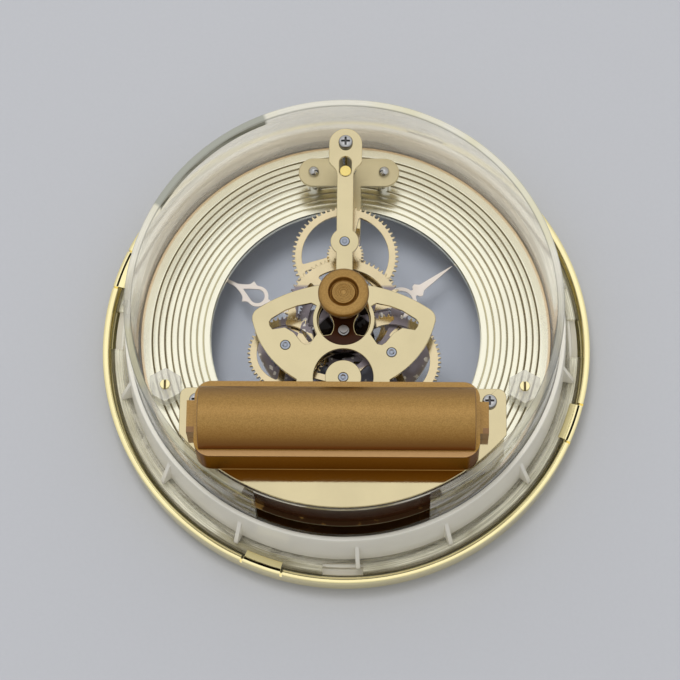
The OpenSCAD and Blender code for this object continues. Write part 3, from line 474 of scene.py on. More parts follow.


# Painted refraction, painted reflection and painted glow on the cup's rim, flange and walls
def cupPaintedLight(maker, veil, body):
    tint, cup, black = rimSet, cupSet, (0.0, 0.0, 0.0)
    side, north, up = spotOf(maker)
    reach, turn = reachFrom(maker), north.calc("ARCTAN2", side)
    around = maker.node("ShaderNodeCombineXYZ", {0: turn.calc("COSINE"), 1: turn.calc("SINE"), 2: up * 30})
    along = maker.node("ShaderNodeCombineXYZ", {0: turn * 1.5, 1: up * 90, 2: reach * 1500})
    patches, lines = grain(maker, 2.2, 3, around), grain(maker, 3.0, 3, along)
    low = patches.band(0.4, 0.56)

    rim = up.rise(*cup["rimAbove"]) * reach.rise(*cup["rimFrom"])
    flange, wall = reach.rise(*cup["flange"]), reach.rise(*cup["wall"])
    edge = (reach - cup["edgeAt"] * mm).calc("ABSOLUTE").rise(*cup["edgeOff"])
    grey = turn.sweep(*cup["greyFrom"]) * turn.sweep(*cup["greyTo"], 1, 0)
    nuts = up.rise(*cup["nutLow"]) * up.fall(*cup["nutHigh"]) * reach.fall(*cup["nutWithin"])
    far = turn.sweep(*cup["farFrom"]) * turn.sweep(*cup["farTo"], 1, 0) * wall * (1 - flange)
    near = wall * (1 - far) * (1 - flange) * (1 - rim) * up.rise(*cup["nearAbove"])
    dusk = grey * up.rise(*cup["duskAbove"]) * wall * (1 - rim)
    notch = (turn + math.pi / 2).calc("ABSOLUTE").sweep(*cup["notchHalf"], 1, 0)
    notch = notch * up.rise(*cup["notchAbove"])

    # painted refraction colours on the rim, with painted smoke in the grey sector and along the edge
    tone = grey.mix(patches.band(0.42, 0.52).mix(tint["pale"], tint["colour"]), tint["paintedSmoke"])
    tone = (edge * 0.6).mix(tone, tint["paintedSmoke"])
    band = reach.rise(*cup["cream"]).mix(tint["drab"], low.mix(tint["tan"], tint["cream"]))
    band = reach.rise(*cup["moss"]).mix(band, tint["moss"])
    shown = flange.mix(rim.mix(body, tone), band)
    # painted reflection streaks on the near wall, painted smoke in the dusk zone
    shown = (near * lines.band(0.47, 0.52, 1, 0)).mix(shown, tint["streak"])
    shown = dusk.mix(shown, tint["paintedSmoke"])
    # painted glow on the far wall, warm below and pale above
    paintedGlow = dusk.mix(far.mix(black, up.rise(*cup["paleUp"]).mix(tint["warm"], body)), black)

    # veils painted over rim, nuts, dusk zone, flange and walls, standing in for reflections in the plastic
    cover = rim * low.band(0, 1, 0.35, tint["thick"]) + rim * grey * 0.25 + nuts * 0.38 + dusk * 0.4
    cover = cover + flange * (lines.band(0.46, 0.6, 0.1, 0.4) + reach.rise(*cup["cream"], 0, 0.15))
    cover = cover + wall * lines.band(0.52, 0.6, 0, 0.14) + near * lines.band(0.4, 0.46, 0.22, 0)
    # painted haze on the far wall
    haze = up.rise(*cup["hazeUp"], 0.16, 0.34) + up.rise(*cup["paleUp"], 0, 0.08)
    cover = cover + far * haze * up.rise(*cup["farAbove"])
    brow = reach.fall(*cup["browWithin"], 0.55)
    return (veil + cover) * (1 - notch) + notch * brow, shown, paintedGlow


def clearFinish(slot, look):
    maker = Finish(slot)
    glance = maker.node("ShaderNodeLayerWeight", {0: 0.5}, out=1)
    veil = glance ** 5 * look["glance"] + look["dense"]
    body = paintedGlow = look["body"]
    if slot == "clear_plastic":
        veil, body, paintedGlow = cupPaintedLight(maker, veil, body)
    clear = maker.node("ShaderNodeBsdfTransparent", {0: (*look["through"], 1)})
    # emission here is painted glow, standing in for light coming through the plastic
    sheen = principled(maker, {
        "Base Color": body, "Roughness": 0.04, "IOR": 1.49, "Emission Color": paintedGlow,
        "Emission Strength": look["paintedGlow"]})
    mixed = maker.node("ShaderNodeMixShader", {0: veil.calc("MINIMUM", 1.0), 1: clear, 2: sheen})
    shadowRay = maker.node("ShaderNodeLightPath", out=1)
    passing = maker.node("ShaderNodeBsdfTransparent", {0: (0.97, 0.97, 0.97, 1)})
    mixed = maker.node("ShaderNodeMixShader", {0: shadowRay, 1: mixed, 2: passing})
    maker.node("ShaderNodeOutputMaterial", {0: mixed})
    finishes[slot] = maker.material


dialFinish()
bronzeLacquer()
for slot, look in clearSet.items():
    clearFinish(slot, look)
for name, part in nodes.items():
    for entry in part.material_slots:
        entry.material = finishes[slotOf[name]]
print("finishes:", len(finishes))

# Distances in metres and angles in degrees for joining points and for shading
joinSet = dict(weld=2e-6, speck=1e-7, flat=1.0, sharp=40, favour=90)


def mergedCopy(name):
    form = bmesh.new()
    form.from_mesh(nodes[name].data)
    bmesh.ops.remove_doubles(form, verts=form.verts, dist=joinSet["weld"])
    flat = math.radians(joinSet["flat"])
    bmesh.ops.dissolve_limit(form, angle_limit=flat, verts=form.verts, edges=form.edges)
    return form


def meshFrom(form, name):
    mesh = bpy.data.meshes.new(name)
    form.to_mesh(mesh)
    form.free()
    return mesh


def baked(piece):
    mesh = shapeOf(piece)
    piece.modifiers.clear()
    piece.data = mesh
    return mesh


def hang(name, mesh, *standsFor, width=0.0, steps=2, corner=30, look=None, weighted=False):
    piece = added(name, mesh)
    mesh.shade_smooth()
    if width:
        soften = piece.modifiers.new("soften", "BEVEL")
        soften.width, soften.segments = width * mm, steps
        soften.limit_method = "WEIGHT" if weighted else "ANGLE"
        soften.angle_limit, soften.use_clamp_overlap = math.radians(corner), weighted
        mesh = baked(piece)
        mesh.shade_smooth()
        mesh.set_sharp_from_angle(angle=math.radians(joinSet["sharp"]))
        even = piece.modifiers.new("even", "WEIGHTED_NORMAL")
        even.keep_sharp, even.weight = True, joinSet["favour"]
        baked(piece)
    else:
        mesh.set_sharp_from_angle(angle=math.radians(corner))
    slot = look or slotOf[standsFor[0]]
    piece.data.materials.clear()
    piece.data.materials.append(finishes[slot])
    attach(piece, bodyOf[standsFor[0]])
    if not look:
        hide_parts(*standsFor)
    return piece


# Turns a closed profile of radius and height in mm about the axis
def lathe(profile, steps=256, start=0.0, sweep=360.0):
    form = bmesh.new()
    whole = sweep >= 360
    rows = []
    for k in range(steps if whole else steps + 1):
        turn = math.radians(start + sweep * k / steps)
        rows.append([form.verts.new((r * mm * math.cos(turn), r * mm * math.sin(turn), z * mm))
                     for r, z in profile])
    for k in range(steps):
        near, far = rows[k], rows[(k + 1) % len(rows)]
        for i in range(len(profile)):
            j = (i + 1) % len(profile)
            form.faces.new((near[i], far[i], far[j], near[j]))
    if not whole:
        form.faces.new(rows[0])
        form.faces.new(rows[-1][::-1])
    bmesh.ops.remove_doubles(form, verts=form.verts, dist=joinSet["speck"])
    bmesh.ops.dissolve_degenerate(form, edges=form.edges, dist=joinSet["speck"])
    bmesh.ops.recalc_face_normals(form, faces=form.faces)
    return form


def arcPoints(centre, radius, first, last, count):
    turns = [math.radians(first + (last - first) * k / count) for k in range(count + 1)]
    return [(centre[0] + radius * math.cos(turn), centre[1] + radius * math.sin(turn)) for turn in turns]


# Edge softening in mm for the CAD shapes that keep their form, and its steps if not two
softSet = {
    "lens": 0.3, "lens_ring": 0.2, "case_cup": 0.15, "front_plate": 0.2, "rear_plate": 0.2,
    "arm_pillars": 0.12, "head_pillar": 0.12, "base_pillars": 0.12, "plate_posts": 0.12,
    "centre_bridge": 0.3, "bridge_screw": 0.1, "minute_hand": 0.1, "hour_hand": 0.1, "hand_nut": 0.08,
    "arm_screws": 0.08, "head_screw": 0.07, "base_screws": 0.07, "rotor_magnet": 0.1, "stator": 0.08,
    "coil_core": 0.06, "coil_bobbin": 0.1, "motor_housing": 0.25, "circuit_board": 0.08,
    "crystal_can": 0.2, "battery_tray": 0.2, "battery": 0.15, "contact_plate": 0.08,
    "battery_leads": 0.1, "rotor_shaft": 0.05, "centre_arbor": 0.05, "hex_nuts": 0.25,
    "dial_screws": 0.1, "hour_markers": 0.1}
softSteps = {"rear_plate": 3, "crystal_can": 3, "rotor_shaft": 1, "centre_arbor": 1, "hex_nuts": 3}
for name, width in softSet.items():
    mesh = meshFrom(mergedCopy(name), name + "Soft")
    hang(name + "Soft", mesh, name, width=width, steps=softSteps.get(name, 2))
print("softened:", len(softSet))

# Battery cover: the dome's ends are rounded far more than its other edges
coverSet = dict(dome=2.6, rest=0.35, ends=(-40.8, 38.0), within=0.15, low=64.0, crown=64.6, fold=30)


def roundCover():
    cover = coverSet
    form = mergedCopy("battery_cover")
    weight = form.edges.layers.float.new("bevel_weight_edge")
    for edge in form.edges:
        if len(edge.link_faces) == 2 and edge.calc_face_angle(0) > math.radians(cover["fold"]):
            ends = [vert.co / mm for vert in edge.verts]
            heights = [end.z for end in ends]
            atEnd = any(all(abs(end.x - side) < cover["within"] for end in ends) for side in cover["ends"])
            onDome = atEnd and min(heights) > cover["low"] and max(heights) > cover["crown"]
            edge[weight] = 1.0 if onDome else cover["rest"] / cover["dome"]
    mesh = meshFrom(form, "batteryCover")
    hang("batteryCoverSoft", mesh, "battery_cover", width=cover["dome"], steps=5, weighted=True)


roundCover()


# Teeth as shares of the module and of the pitch, steps of the outlines, rounding of the panes in mm
toothSet = dict(
    steps=8, root=1.15, tip=0.85, crown=2.2, flank=0.9, width=0.25, paneSteps=20, boreSteps=40,
    corner=0.5, cornerSteps=4)


# A wheel or pinion in mm, scaled to metres at its end: toothed ring, panes between the spokes, bore
def growWheel():
    cut = toothSet
    grow = Grower("wheelTree", {
        "Teeth": 60, "Module": 0.5, "Phase": 0.0, "RimInner": 12.0, "Hub": 3.5, "Bore": 1.0, "Spokes": 3,
        "SpokeWidth": 2.0, "SpokeAngle": 0.0, "Thickness": 1.0, "CentreX": 0.0, "CentreY": 0.0,
        "Level": 40.0})
    teeth, module, spokes = grow.size("Teeth"), grow.size("Module"), grow.size("Spokes")
    toothSteps, arcSteps = cut["steps"], cut["paneSteps"]
    index = grow.node("GeometryNodeInputIndex")
    tooth = (index / float(toothSteps)).calc("FLOOR")
    half = (toothSteps - 1) / 2
    across = ((index % float(toothSteps)) - half) / half
    away = across.calc("ABSOLUTE")
    root, tip = teeth * module / 2 - cut["root"] * module, teeth * module / 2 + cut["tip"] * module
    reach = root + (tip - root) * (1 - away ** cut["crown"])
    turn = (tooth + cut["width"] * across.calc("SIGN") * away ** cut["flank"]) * (2 * math.pi) / teeth
    ring = grow.node("GeometryNodeCurvePrimitiveCircle", {"Resolution": teeth * toothSteps})
    spot = grow.vector(reach * turn.calc("COSINE"), reach * turn.calc("SINE"))
    outline = grow.node("GeometryNodeSetPosition", {0: ring, "Position": spot})
    phase = grow.vector(z=grow.size("Phase"))
    outline = grow.node("GeometryNodeTransform", {0: outline, "Rotation": phase})
    inner = index > arcSteps - 0.5
    part = inner * (1 - (index - arcSteps) / (arcSteps - 1)) + (1 - inner) * index / (arcSteps - 1)
    far = grow.size("RimInner") * (1 - inner) + grow.size("Hub") * inner
    edge = (grow.size("SpokeWidth") / 2 / far).calc("ARCSINE")
    sector = 2 * math.pi / spokes
    swing = edge + (sector - edge * 2) * part
    pane = grow.node("GeometryNodeCurvePrimitiveCircle", {"Resolution": arcSteps * 2})
    spot = grow.vector(far * swing.calc("COSINE"), far * swing.calc("SINE"))
    pane = grow.node("GeometryNodeSetPosition", {0: pane, "Position": spot})
    rounding = {"Curve": pane, "Count": cut["cornerSteps"], "Radius": cut["corner"], "Limit Radius": True}
    pane = grow.node("GeometryNodeFilletCurve", rounding, mode="POLY")
    seats = grow.node("GeometryNodePoints", {"Count": spokes})
    angle = grow.vector(z=grow.size("SpokeAngle") + index * sector)
    copies = {"Points": seats, "Instance": pane, "Rotation": angle}
    panes = grow.node("GeometryNodeInstanceOnPoints", copies)
    panes = grow.node("GeometryNodeRealizeInstances", {0: panes})
    hole = {"Resolution": cut["boreSteps"], "Radius": grow.size("Bore")}
    bore = grow.node("GeometryNodeCurvePrimitiveCircle", hole)
    curves = grow.node("GeometryNodeJoinGeometry", {0: [outline, panes, bore]})
    sheet = grow.node("GeometryNodeFillCurve", {"Curve": curves}, mode="TRIANGLES")
    lift = {"Mesh": sheet, "Offset": grow.vector(0, 0, 1), "Offset Scale": grow.size("Thickness"),
            "Individual": False}
    raised = grow.node("GeometryNodeExtrudeMesh", lift, mode="FACES")
    under = grow.node("GeometryNodeFlipFaces", {0: sheet})
    solid = grow.node("GeometryNodeJoinGeometry", {0: [raised, under]})
    solid = grow.node("GeometryNodeMergeByDistance", {0: solid, "Distance": 0.001})
    seat = grow.vector(grow.size("CentreX"), grow.size("CentreY"), grow.size("Level"))
    solid = grow.node("GeometryNodeTransform", {0: solid, "Translation": seat})
    return grow.close(grow.node("GeometryNodeTransform", {0: solid, "Scale": (mm, mm, mm)}))


# Turn in degrees that puts a wheel in mesh with the wheel before it
def meshAngle(way, phase, first, second):
    return way + 180 - 360 / second * (0.5 - (way - phase) * first / 360)


def awayFrom(reach, way):
    return (reach * math.cos(math.radians(way)), reach * math.sin(math.radians(way)))


# Tooth counts, places and modules of the train, in mm and degrees, as in the part's source
train = dict(
    topY=19.1, lowerY=-23.2, rotorGap=13.6, centreModule=0.481, leftModule=0.43, leftWay=218.1,
    rightWay=-47.7, cannon=14, top=64, minute=32, hour=84, centre=72, left=52, leftPinion=18, right=64,
    rightPinion=15, lower=50, lowerPinion=8, rotorPinion=8)
topAt, lowerAt = (0.0, train["topY"]), (0.0, train["lowerY"])
leftAt = awayFrom(train["centreModule"] * (train["centre"] + train["leftPinion"]) / 2, train["leftWay"])
rightAt = awayFrom(train["centreModule"] * (train["centre"] + train["rightPinion"]) / 2, train["rightWay"])
topModule = 2 * train["topY"] / (train["top"] + train["cannon"])
hourModule = 2 * train["topY"] / (train["minute"] + train["hour"])
rightModule = 2 * math.dist(lowerAt, rightAt) / (train["right"] + train["lowerPinion"])
lowerModule = 2 * train["rotorGap"] / (train["lower"] + train["rotorPinion"])
lowerWay = math.degrees(math.atan2(lowerAt[1] - rightAt[1], lowerAt[0] - rightAt[0]))
topPhase = meshAngle(90, 0, train["cannon"], train["top"])
hourPhase = meshAngle(-90, topPhase, train["minute"], train["hour"])
leftPhase = meshAngle(train["leftWay"], 0, train["centre"], train["leftPinion"])
rightPhase = meshAngle(train["rightWay"], 0, train["centre"], train["rightPinion"])
lowerPhase = meshAngle(lowerWay, rightPhase, train["right"], train["lowerPinion"])
wheelTree = growWheel()


def toothed(slot, teeth, module, phase, at, level, rimIn=0.0, hub=0.0, bore=0.4, spokes=0,
            spokeWidth=0.0, spokeAngle=0.0, thick=1.0):
    return wheelTree.bake(
        slot, Teeth=teeth, Module=module, Phase=math.radians(phase), CentreX=at[0], CentreY=at[1],
        Level=level, Thickness=thick, RimInner=rimIn, Hub=hub, Bore=bore, Spokes=spokes,
        SpokeWidth=spokeWidth, SpokeAngle=math.radians(spokeAngle))


def joined(name, *meshes):
    form = bmesh.new()
    for mesh in meshes:
        form.from_mesh(mesh)
    return meshFrom(form, name)


def turnedMesh(profile, at=(0, 0), steps=64):
    form = lathe(profile, steps)
    bmesh.ops.translate(form, vec=(at[0] * mm, at[1] * mm, 0), verts=form.verts)
    return meshFrom(form, "turned")


# Wheels: module, phase, place, level, inner radius of the rim, hub, bore, spokes, their width and angle
wheelSet = {
    "centre_wheel": (train["centreModule"], 0, (0.0, 0.0), 40.2, 13.9, 4.6, 1.45, 3, 2.7, 10.8),
    "top_wheel": (topModule, topPhase, topAt, 37.3, 13.1, 3.4, 1.1, 3, 2.3, 77),
    "left_wheel": (train["leftModule"], 0, leftAt, 42.2, 8.7, 3.4, 1.1, 3, 2.0, 20),
    "right_wheel": (rightModule, rightPhase, rightAt, 42.2, 11.3, 3.4, 1.1, 3, 2.2, 55),
    "lower_wheel": (lowerModule, lowerPhase, lowerAt, 44.8, 9.3, 3.0, 1.1, 3, 2.0, 45),
    "hour_wheel": (hourModule, hourPhase, (0.0, 0.0), 32.4, 11.0, 3.8, 1.5, 4, 2.4, 40),
}
hourPipe = [
    (1.5, 13.6), (2.3, 13.6), (2.4, 13.7), (2.4, 33.3), (3.0, 33.3), (3.0, 34.5), (2.9, 34.6), (1.5, 34.6)]
for name, sizes in wheelSet.items():
    short = name.split("_")[0]
    mesh = toothed(slotOf[name], train[short], *sizes)
    if name == "hour_wheel":
        mesh = joined("hourWheel", mesh, turnedMesh(hourPipe))
    hang(short + "Wheel", mesh, name, width=0.07, steps=1, corner=38)
print("wheels:", len(wheelSet))

# Arbors: place, then each pinion's teeth, module, phase, level and height
arborSet = {
    "top_arbor": (topAt, [
        (train["minute"], hourModule, topPhase, 32.0, 1.8),
        (train["minute"], hourModule, topPhase, 38.3, 1.2)]),
    "left_arbor": (leftAt, [(train["leftPinion"], train["centreModule"], leftPhase, 39.8, 2.4)]),
    "right_arbor": (rightAt, [(train["rightPinion"], train["centreModule"], rightPhase, 39.8, 2.4)]),
    "lower_arbor": (lowerAt, [(train["lowerPinion"], rightModule, lowerPhase, 41.7, 2.0)]),
}
spindle = [
    (0, 29.1), (0.8, 29.1), (0.9, 29.2), (0.9, 30.4), (1.1, 30.4), (1.1, 49.2), (1.9, 49.2), (2, 49.3),
    (2, 49.7), (1.9, 49.8), (1.4, 49.8), (1.4, 50.95), (1.33, 51.08), (1.2, 51.15), (0.85, 51.15),
    (0.7, 51.05), (0.55, 50.93), (0.3, 50.87), (0, 50.86)]
for name, (at, pinions) in arborSet.items():
    parts = [toothed(slotOf[name], teeth, module, phase, at, level, thick=high)
             for teeth, module, phase, level, high in pinions]
    if name == "top_arbor":
        hang("topPinions", joined("topPinions", *parts), name, corner=28, look="gold_wheel")
        parts = []
    hang(name.split("_")[0] + "Arbor", joined(name, turnedMesh(spindle, at, 48), *parts), name, corner=28)
print("arbors:", len(arborSet))

# Dial ring in mm: its section, its grooves and the swell between them
dial = dict(
    inner=41.0, outer=62.6, top=19.0, base=17.4, bevel=0.4, edge=0.25, grooves=9, half=0.28, depth=0.35,
    crown=0.035)


# The dial's upper face: a grid bent round the axis, with a groove and a slight swell at every pitch
def growDial():
    grow = Grower("dialTree", {
        "Inner": 0.041, "Outer": 0.0626, "Top": 0.019, "First": 0.0434, "Pitch": 0.00195, "Grooves": 9,
        "Half": 0.0004, "Depth": 0.0005, "Crown": 0.0001})
    grid = {"Size X": 1.0, "Size Y": 1.0, "Vertices X": 177, "Vertices Y": 257}
    sheet = grow.node("GeometryNodeMeshGrid", grid)
    spot = grow.node("ShaderNodeSeparateXYZ", {0: grow.node("GeometryNodeInputPosition")})
    reach = grow.size("Inner") + (grow.size("Outer") - grow.size("Inner")) * (spot + 0.5)
    turn = (grow.also(spot, 1) + 0.5) * (2 * math.pi)
    pitch, first = grow.size("Pitch"), grow.size("First")
    away = ((reach - first + pitch / 2) % pitch - pitch / 2).calc("ABSOLUTE")
    inside = (reach > first - pitch / 2) * (reach < first + pitch * (grow.size("Grooves") - 0.5))
    dip = (1 - away / grow.size("Half")).calc("MAXIMUM", 0.0) * grow.size("Depth")
    swell = (1 - away * 2 / pitch) ** 2 * grow.size("Crown")
    height = grow.size("Top") - inside * (dip + swell)
    bent = grow.vector(reach * turn.calc("COSINE"), reach * turn.calc("SINE"), height)
    sheet = grow.node("GeometryNodeSetPosition", {0: sheet, "Position": bent})
    return grow.close(grow.node("GeometryNodeMergeByDistance", {0: sheet, "Distance": 1e-6}))


innerTop, outerTop, high = dial["inner"] + dial["bevel"], dial["outer"] - dial["edge"], dial["top"]
top = growDial().bake(
    "gold_dial", Inner=innerTop * mm, Outer=outerTop * mm, Top=high * mm, First=dialSet["first"],
    Pitch=dialSet["pitch"], Half=dial["half"] * mm, Grooves=dial["grooves"], Depth=dial["depth"] * mm,
    Crown=dial["crown"] * mm)
under = lathe([
    (innerTop, high), (dial["inner"] + dial["bevel"] / 4, high - dial["bevel"] * 0.3),
    (dial["inner"], high - dial["bevel"]), (dial["inner"], dial["base"]), (dial["outer"], dial["base"]),
    (dial["outer"], high - dial["edge"]), (outerTop, high)])
lidLow = (high - 0.1) * mm  # the grown face takes the place of the flat one above this
lid = [face for face in under.faces if face.normal.z > 0.9
       or face.normal.z < -0.999 and face.calc_center_median().z > lidLow]
bmesh.ops.delete(under, geom=lid, context="FACES_ONLY")
under.from_mesh(top)
bmesh.ops.remove_doubles(under, verts=under.verts, dist=joinSet["weld"])
bmesh.ops.recalc_face_normals(under, faces=under.faces)
hang("dialRing", meshFrom(under, "dialRing"), "dial_ring", corner=28)


def growScatter():
    grow = Grower("scatterTree", {})
    item = grow.node("GeometryNodeObjectInfo", {"Object": grow.size("Item")}, out=4)
    turn = grow.node("GeometryNodeInputNamedAttribute", {"Name": "turn"}, data_type="FLOAT")
    copies = {"Points": grow.size("Base"), "Instance": item, "Rotation": grow.vector(z=turn)}
    return grow.close(grow.node("GeometryNodeInstanceOnPoints", copies))


scatterTree = growScatter()


def repeated(slot, form, angles):
    model = added("model", meshFrom(form, "model"))
    base = bpy.data.meshes.new("seats")
    base.from_pydata([(0, 0, 0)] * len(angles), [], [])
    turns = base.attributes.new("turn", "FLOAT", "POINT")
    turns.data.foreach_set("value", [math.radians(angle) for angle in angles])
    mesh = scatterTree.bake(slot, base, model)
    bpy.data.objects.remove(model)
    return mesh


def prism(outline, thick):
    form = bmesh.new()
    face = form.faces.new([form.verts.new((x * mm, -thick * mm / 2, z * mm)) for x, z in outline])
    raised = bmesh.ops.extrude_face_region(form, geom=[face])["geom"]
    moved = [item for item in raised if isinstance(item, bmesh.types.BMVert)]
    bmesh.ops.translate(form, vec=(0, thick * mm, 0), verts=moved)
    bmesh.ops.recalc_face_normals(form, faces=form.faces)
    return form


fitSet = dict(
    collar=[
        (65.15, 9.6), (67.5, 9.6), (67.3, 15), (66.55, 27.7), (66.4, 28.05), (66.15, 28.2), (65.4, 28.2),
        (65.15, 27.95)],
    fin=[(66, 9.6), (70.5, 9.6), (70.7, 9.8), (70.7, 11.0), (70.5, 11.4), (66.3, 23.9), (66, 24.2)],
    angles=(-166, -141.6, -117.5, -86.5, -62.8, -37.7, -9, 16.3, 41, 59.5, 84.5, 110, 135, 169), thick=1.3)
fins = repeated("white_plastic", prism(fitSet["fin"], fitSet["thick"]), fitSet["angles"])
collar = meshFrom(lathe(fitSet["collar"]), "collar")
hang("fitRing", joined("fitRing", fins, collar), "fit_ring", width=0.18, corner=40)
print("fit ring fins:", len(fitSet["angles"]))

# Bezel: profile of the ring, of its upright lip between the slits, and of the bent tongues
bezel = dict(
    tabs=(-109.5, -19.4, 70.6, 160.5), half=4.63, slitEnd=5.17, tabHalf=4.55,
    body=[
        (65.5, 1), (66.3, 0.55), (67.5, 0.15), (69, 0), *arcPoints((71.2, 3.8), 3.8, -90, 0, 20),
        (75, 8.3), (73.8, 8.3), (73.8, 3.8), (73.5, 3.1), (73, 2.4), (71.8, 1.7), (70, 1.5), (67.9, 1.6),
        (66, 2.3)],
    paintedLipHighlight=[
        (73.8, 8.25), (75, 8.25), (75, 10.2), (74.9, 10.42), (74.7, 10.5), (73.4, 10.5), (73.2, 10.42),
        (73.1, 10.2), (73.1, 9.5), (73.8, 9.0)],
    tab=[
        (71.0, 9.7), (74.0, 9.7), (74.0, 10.5), (71.35, 10.5), (71.05, 10.35), (70.9, 10.05), (70.9, 9.8)])
slit, half, bent = bezel["slitEnd"], bezel["half"], bezel["tabHalf"]
rings = [lathe(bezel["body"], 360)]
for tab, after in zip(bezel["tabs"], [*bezel["tabs"][1:], bezel["tabs"][0] + 360]):
    rings.append(lathe(bezel["paintedLipHighlight"], 96, tab + slit, after - tab - 2 * slit))
    rings.append(lathe(bezel["paintedLipHighlight"], 12, tab - half, 2 * half))
    rings.append(lathe(bezel["tab"], 12, tab - bent, 2 * bent))
hang("bezelRing", joined("bezelRing", *(meshFrom(ring, "ring") for ring in rings)), "bezel", corner=40)
print("bezel turned")

# Setting knob: foot, neck, rounded grip, dished top with two turned beads
knobSet = [
    (0, 51.5), (5.2, 51.5), (5.5, 51.7), (5.6, 52.0), (5.5, 52.3), (5.2, 52.7), (4.4, 53.1), (3.95, 53.6),
    (3.75, 54.4), (3.7, 55.2), (3.9, 55.6), (4.6, 55.8), (5.9, 56.2), (6.8, 56.7), (7.2, 57.3),
    (7.4, 57.9), (7.45, 58.4), (7.45, 59.1), (7.35, 59.6), (7.1, 60.0), (6.7, 60.25), (6.1, 60.35),
    (5.3, 60.45), (4.9, 60.58), (4.7, 60.6), (4.5, 60.5), (4.35, 60.2), (4.2, 58.9), (4.05, 58.6),
    (3.8, 58.55), (3.6, 58.8), (3.5, 59.5), (3.4, 59.75), (3.2, 59.85), (2.95, 59.82), (2.85, 59.66),
    (2.7, 59.62), (2.55, 59.66), (2.45, 59.8), (2.2, 59.82), (2.1, 59.64), (1.95, 59.6), (1.8, 59.64),
    (1.7, 59.78), (1.45, 59.8), (1.35, 59.6), (1.15, 59.55), (0.95, 59.6), (0.85, 59.8), (0.6, 59.86),
    (0, 59.88)]
hang("settingKnob", turnedMesh(knobSet, steps=128), "setting_knob", corner=60)


# A wire wound along +X from its start, in metres
def growCoil():
    grow = Grower("coilTree", {
        "Turns": 10.0, "First": 0.004, "Last": 0.003, "Long": 0.02, "Wire": 0.0003, "Sides": 6,
        "StartX": 0.0, "StartY": 0.0, "StartZ": 0.0})
    spiral = {"Resolution": 24, "Rotations": grow.size("Turns"), "Start Radius": grow.size("First"),
              "End Radius": grow.size("Last"), "Height": grow.size("Long")}
    path = grow.node("GeometryNodeCurveSpiral", spiral)
    hoop = {"Resolution": grow.size("Sides"), "Radius": grow.size("Wire")}
    wire = grow.node("GeometryNodeCurvePrimitiveCircle", hoop)
    swept = {"Curve": path, "Profile Curve": wire, "Fill Caps": True}
    tube = grow.node("GeometryNodeCurveToMesh", swept)
    start = grow.vector(grow.size("StartX"), grow.size("StartY"), grow.size("StartZ"))
    laid = {0: tube, "Rotation": (0, math.pi / 2, 0), "Translation": start}
    return grow.close(grow.node("GeometryNodeTransform", laid))


coilTree = growCoil()


def wound(slot, look):
    return coilTree.bake(
        slot, Turns=look["turns"], First=look["first"] * mm, Last=look["last"] * mm,
        Long=look["long"] * mm, Wire=look["wire"] * mm, Sides=look["sides"], StartX=look["at"][0] * mm,
        StartY=look["at"][1] * mm, StartZ=look["at"][2] * mm)


def shifted(at):
    return Matrix.Translation(tuple(along * mm for along in at))


# Motor coil: one layer of wire over the plain body of the layers below it
coil = dict(
    at=(6.0, -47.4, 40.7), long=19.0, inner=2.0, first=3.56, last=3.56, wire=0.14, turns=68.0, sides=5)
inner, outer, end = coil["inner"], coil["first"], coil["long"]
layers = lathe([(inner, 0), (outer, 0), (outer, end), (inner, end)], 48)
laid = shifted(coil["at"]) @ Matrix.Rotation(math.pi / 2, 4, "Y")
bmesh.ops.transform(layers, matrix=laid, verts=layers.verts)
winding = joined("coilWinding", wound("copper_wire", coil), meshFrom(layers, "layers"))
hang("coilWinding", winding, "coil_winding", corner=50)

# Contact of the cell: a conical spring on an upright blade
springSet = dict(at=(-36.85, -40.0, 62.3), first=4.2, last=2.5, long=3.9, wire=0.3, turns=2.5, sides=10)
bladeSet = dict(at=(-37.3, -40, 59.4), size=(0.4, 9, 14), edge=0.08)
blade = bmesh.new()
stretched = Matrix.Diagonal((*(size * mm for size in bladeSet["size"]), 1))
bmesh.ops.create_cube(blade, size=1, matrix=shifted(bladeSet["at"]) @ stretched)
bmesh.ops.bevel(blade, geom=blade.edges[:], offset=bladeSet["edge"] * mm, segments=2, affect="EDGES")
contact = joined("contactSpring", wound("nickel", springSet), meshFrom(blade, "blade"))
hang("contactSpring", contact, "contact_spring", corner=40)
print("wound pieces done")

# Drop of resin over the chip
chipSet = dict(
    at=(-23.5, -42.6),
    drop=[(0, 34.8), (2.9, 34.8), (2.85, 35.2), (2.6, 35.7), (2.1, 36.0), (1.2, 36.17), (0, 36.2)])
hang("controlChip", turnedMesh(chipSet["drop"], chipSet["at"], 40), "control_chip", corner=40)

stageSet = dict(colour=(0.49, 0.5, 0.53), weave=0.96, scale=900, rough=0.9, half=1.6, drop=0.0002)


def layFloor():
    mesh = bpy.data.meshes.new("floor")
    half, low = stageSet["half"], -stageSet["drop"]
    corners = [(-half, -half, low), (half, -half, low), (half, half, low), (-half, half, low)]
    mesh.from_pydata(corners, [], [(0, 1, 2, 3)])
    floor = added("floor", mesh)
    maker = Finish("floorCloth")
    dim = tuple(channel * stageSet["weave"] for channel in stageSet["colour"])
    colour = grain(maker, stageSet["scale"], 3).mix(stageSet["colour"], dim)
    mesh.materials.append(surface(maker, {"Base Color": colour, "Roughness": stageSet["rough"]}))


cameraSet = dict(
    spot=(0.0145, -0.2716, 0.8258), azimuth=3.42183, elevation=71.43173, roll=-2.96296, lens=147.81)


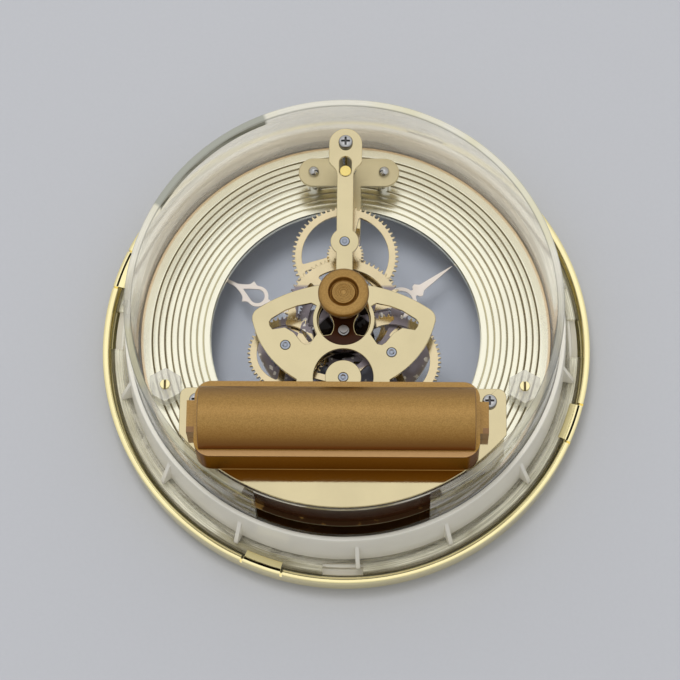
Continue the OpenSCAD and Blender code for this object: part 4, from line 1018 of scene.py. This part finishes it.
def placeCamera():
    turn, tilt, roll = (math.radians(cameraSet[key]) for key in ("azimuth", "elevation", "roll"))
    back = Vector((math.sin(turn) * math.cos(tilt), -math.cos(turn) * math.cos(tilt), math.sin(tilt)))
    right = (-back).cross(Vector((0, 0, 1))).normalized()
    up = right.cross(-back)
    rightTurned = right * math.cos(roll) + up * math.sin(roll)
    upTurned = up * math.cos(roll) - right * math.sin(roll)
    data = bpy.data.cameras.new("camera")
    data.lens, data.sensor_width, data.clip_start = cameraSet["lens"], 36, 0.01
    camera = added("camera", data)
    facing = Matrix((rightTurned, upTurned, back)).transposed().to_4x4()
    camera.matrix_world = Matrix.Translation(cameraSet["spot"]) @ facing
    bpy.context.scene.camera = camera


lampSet = dict(spot=(-0.2, 0.32, 2.0), size=0.6, watts=14)


def hangLamp():
    data = bpy.data.lights.new("ceilingLight", "AREA")
    data.shape, data.size, data.energy = "SQUARE", lampSet["size"], lampSet["watts"]
    lamp = added("ceilingLight", data)
    lamp.visible_glossy = False
    facing = Vector(lampSet["spot"]).to_track_quat("Z", "Y").to_matrix().to_4x4()
    lamp.matrix_world = Matrix.Translation(lampSet["spot"]) @ facing


# Sky: level at the horizon and overhead, and a brighter round patch that the brass mirrors
skySet = dict(low=0.6, high=0.76, peak=0.3, peakAt=(0, 0.2, 0.98), peakEdge=(0.91, 0.975))


def paintSky():
    world = bpy.data.worlds.new("sky")
    bpy.context.scene.world = world
    world.use_nodes = True
    maker = Finish("sky", world.node_tree)
    way = maker.node("ShaderNodeSeparateXYZ", {0: maker.node("ShaderNodeTexCoord", out=0)})
    north, up = maker.also(way, 1), maker.also(way, 2)
    toPeak = up * skySet["peakAt"][2] + north * skySet["peakAt"][1]
    level = up.band(0.0, 0.9, skySet["low"], skySet["high"])
    level = level + toPeak.band(*skySet["peakEdge"], 0, skySet["peak"])
    light = maker.node("ShaderNodeBackground", {0: (1.0, 1.0, 1.0, 1), 1: level})
    maker.node("ShaderNodeOutputWorld", {0: light})


layFloor()
placeCamera()
hangLamp()
paintSky()
bpy.context.scene.view_settings.view_transform = "Standard"
print("stage set")
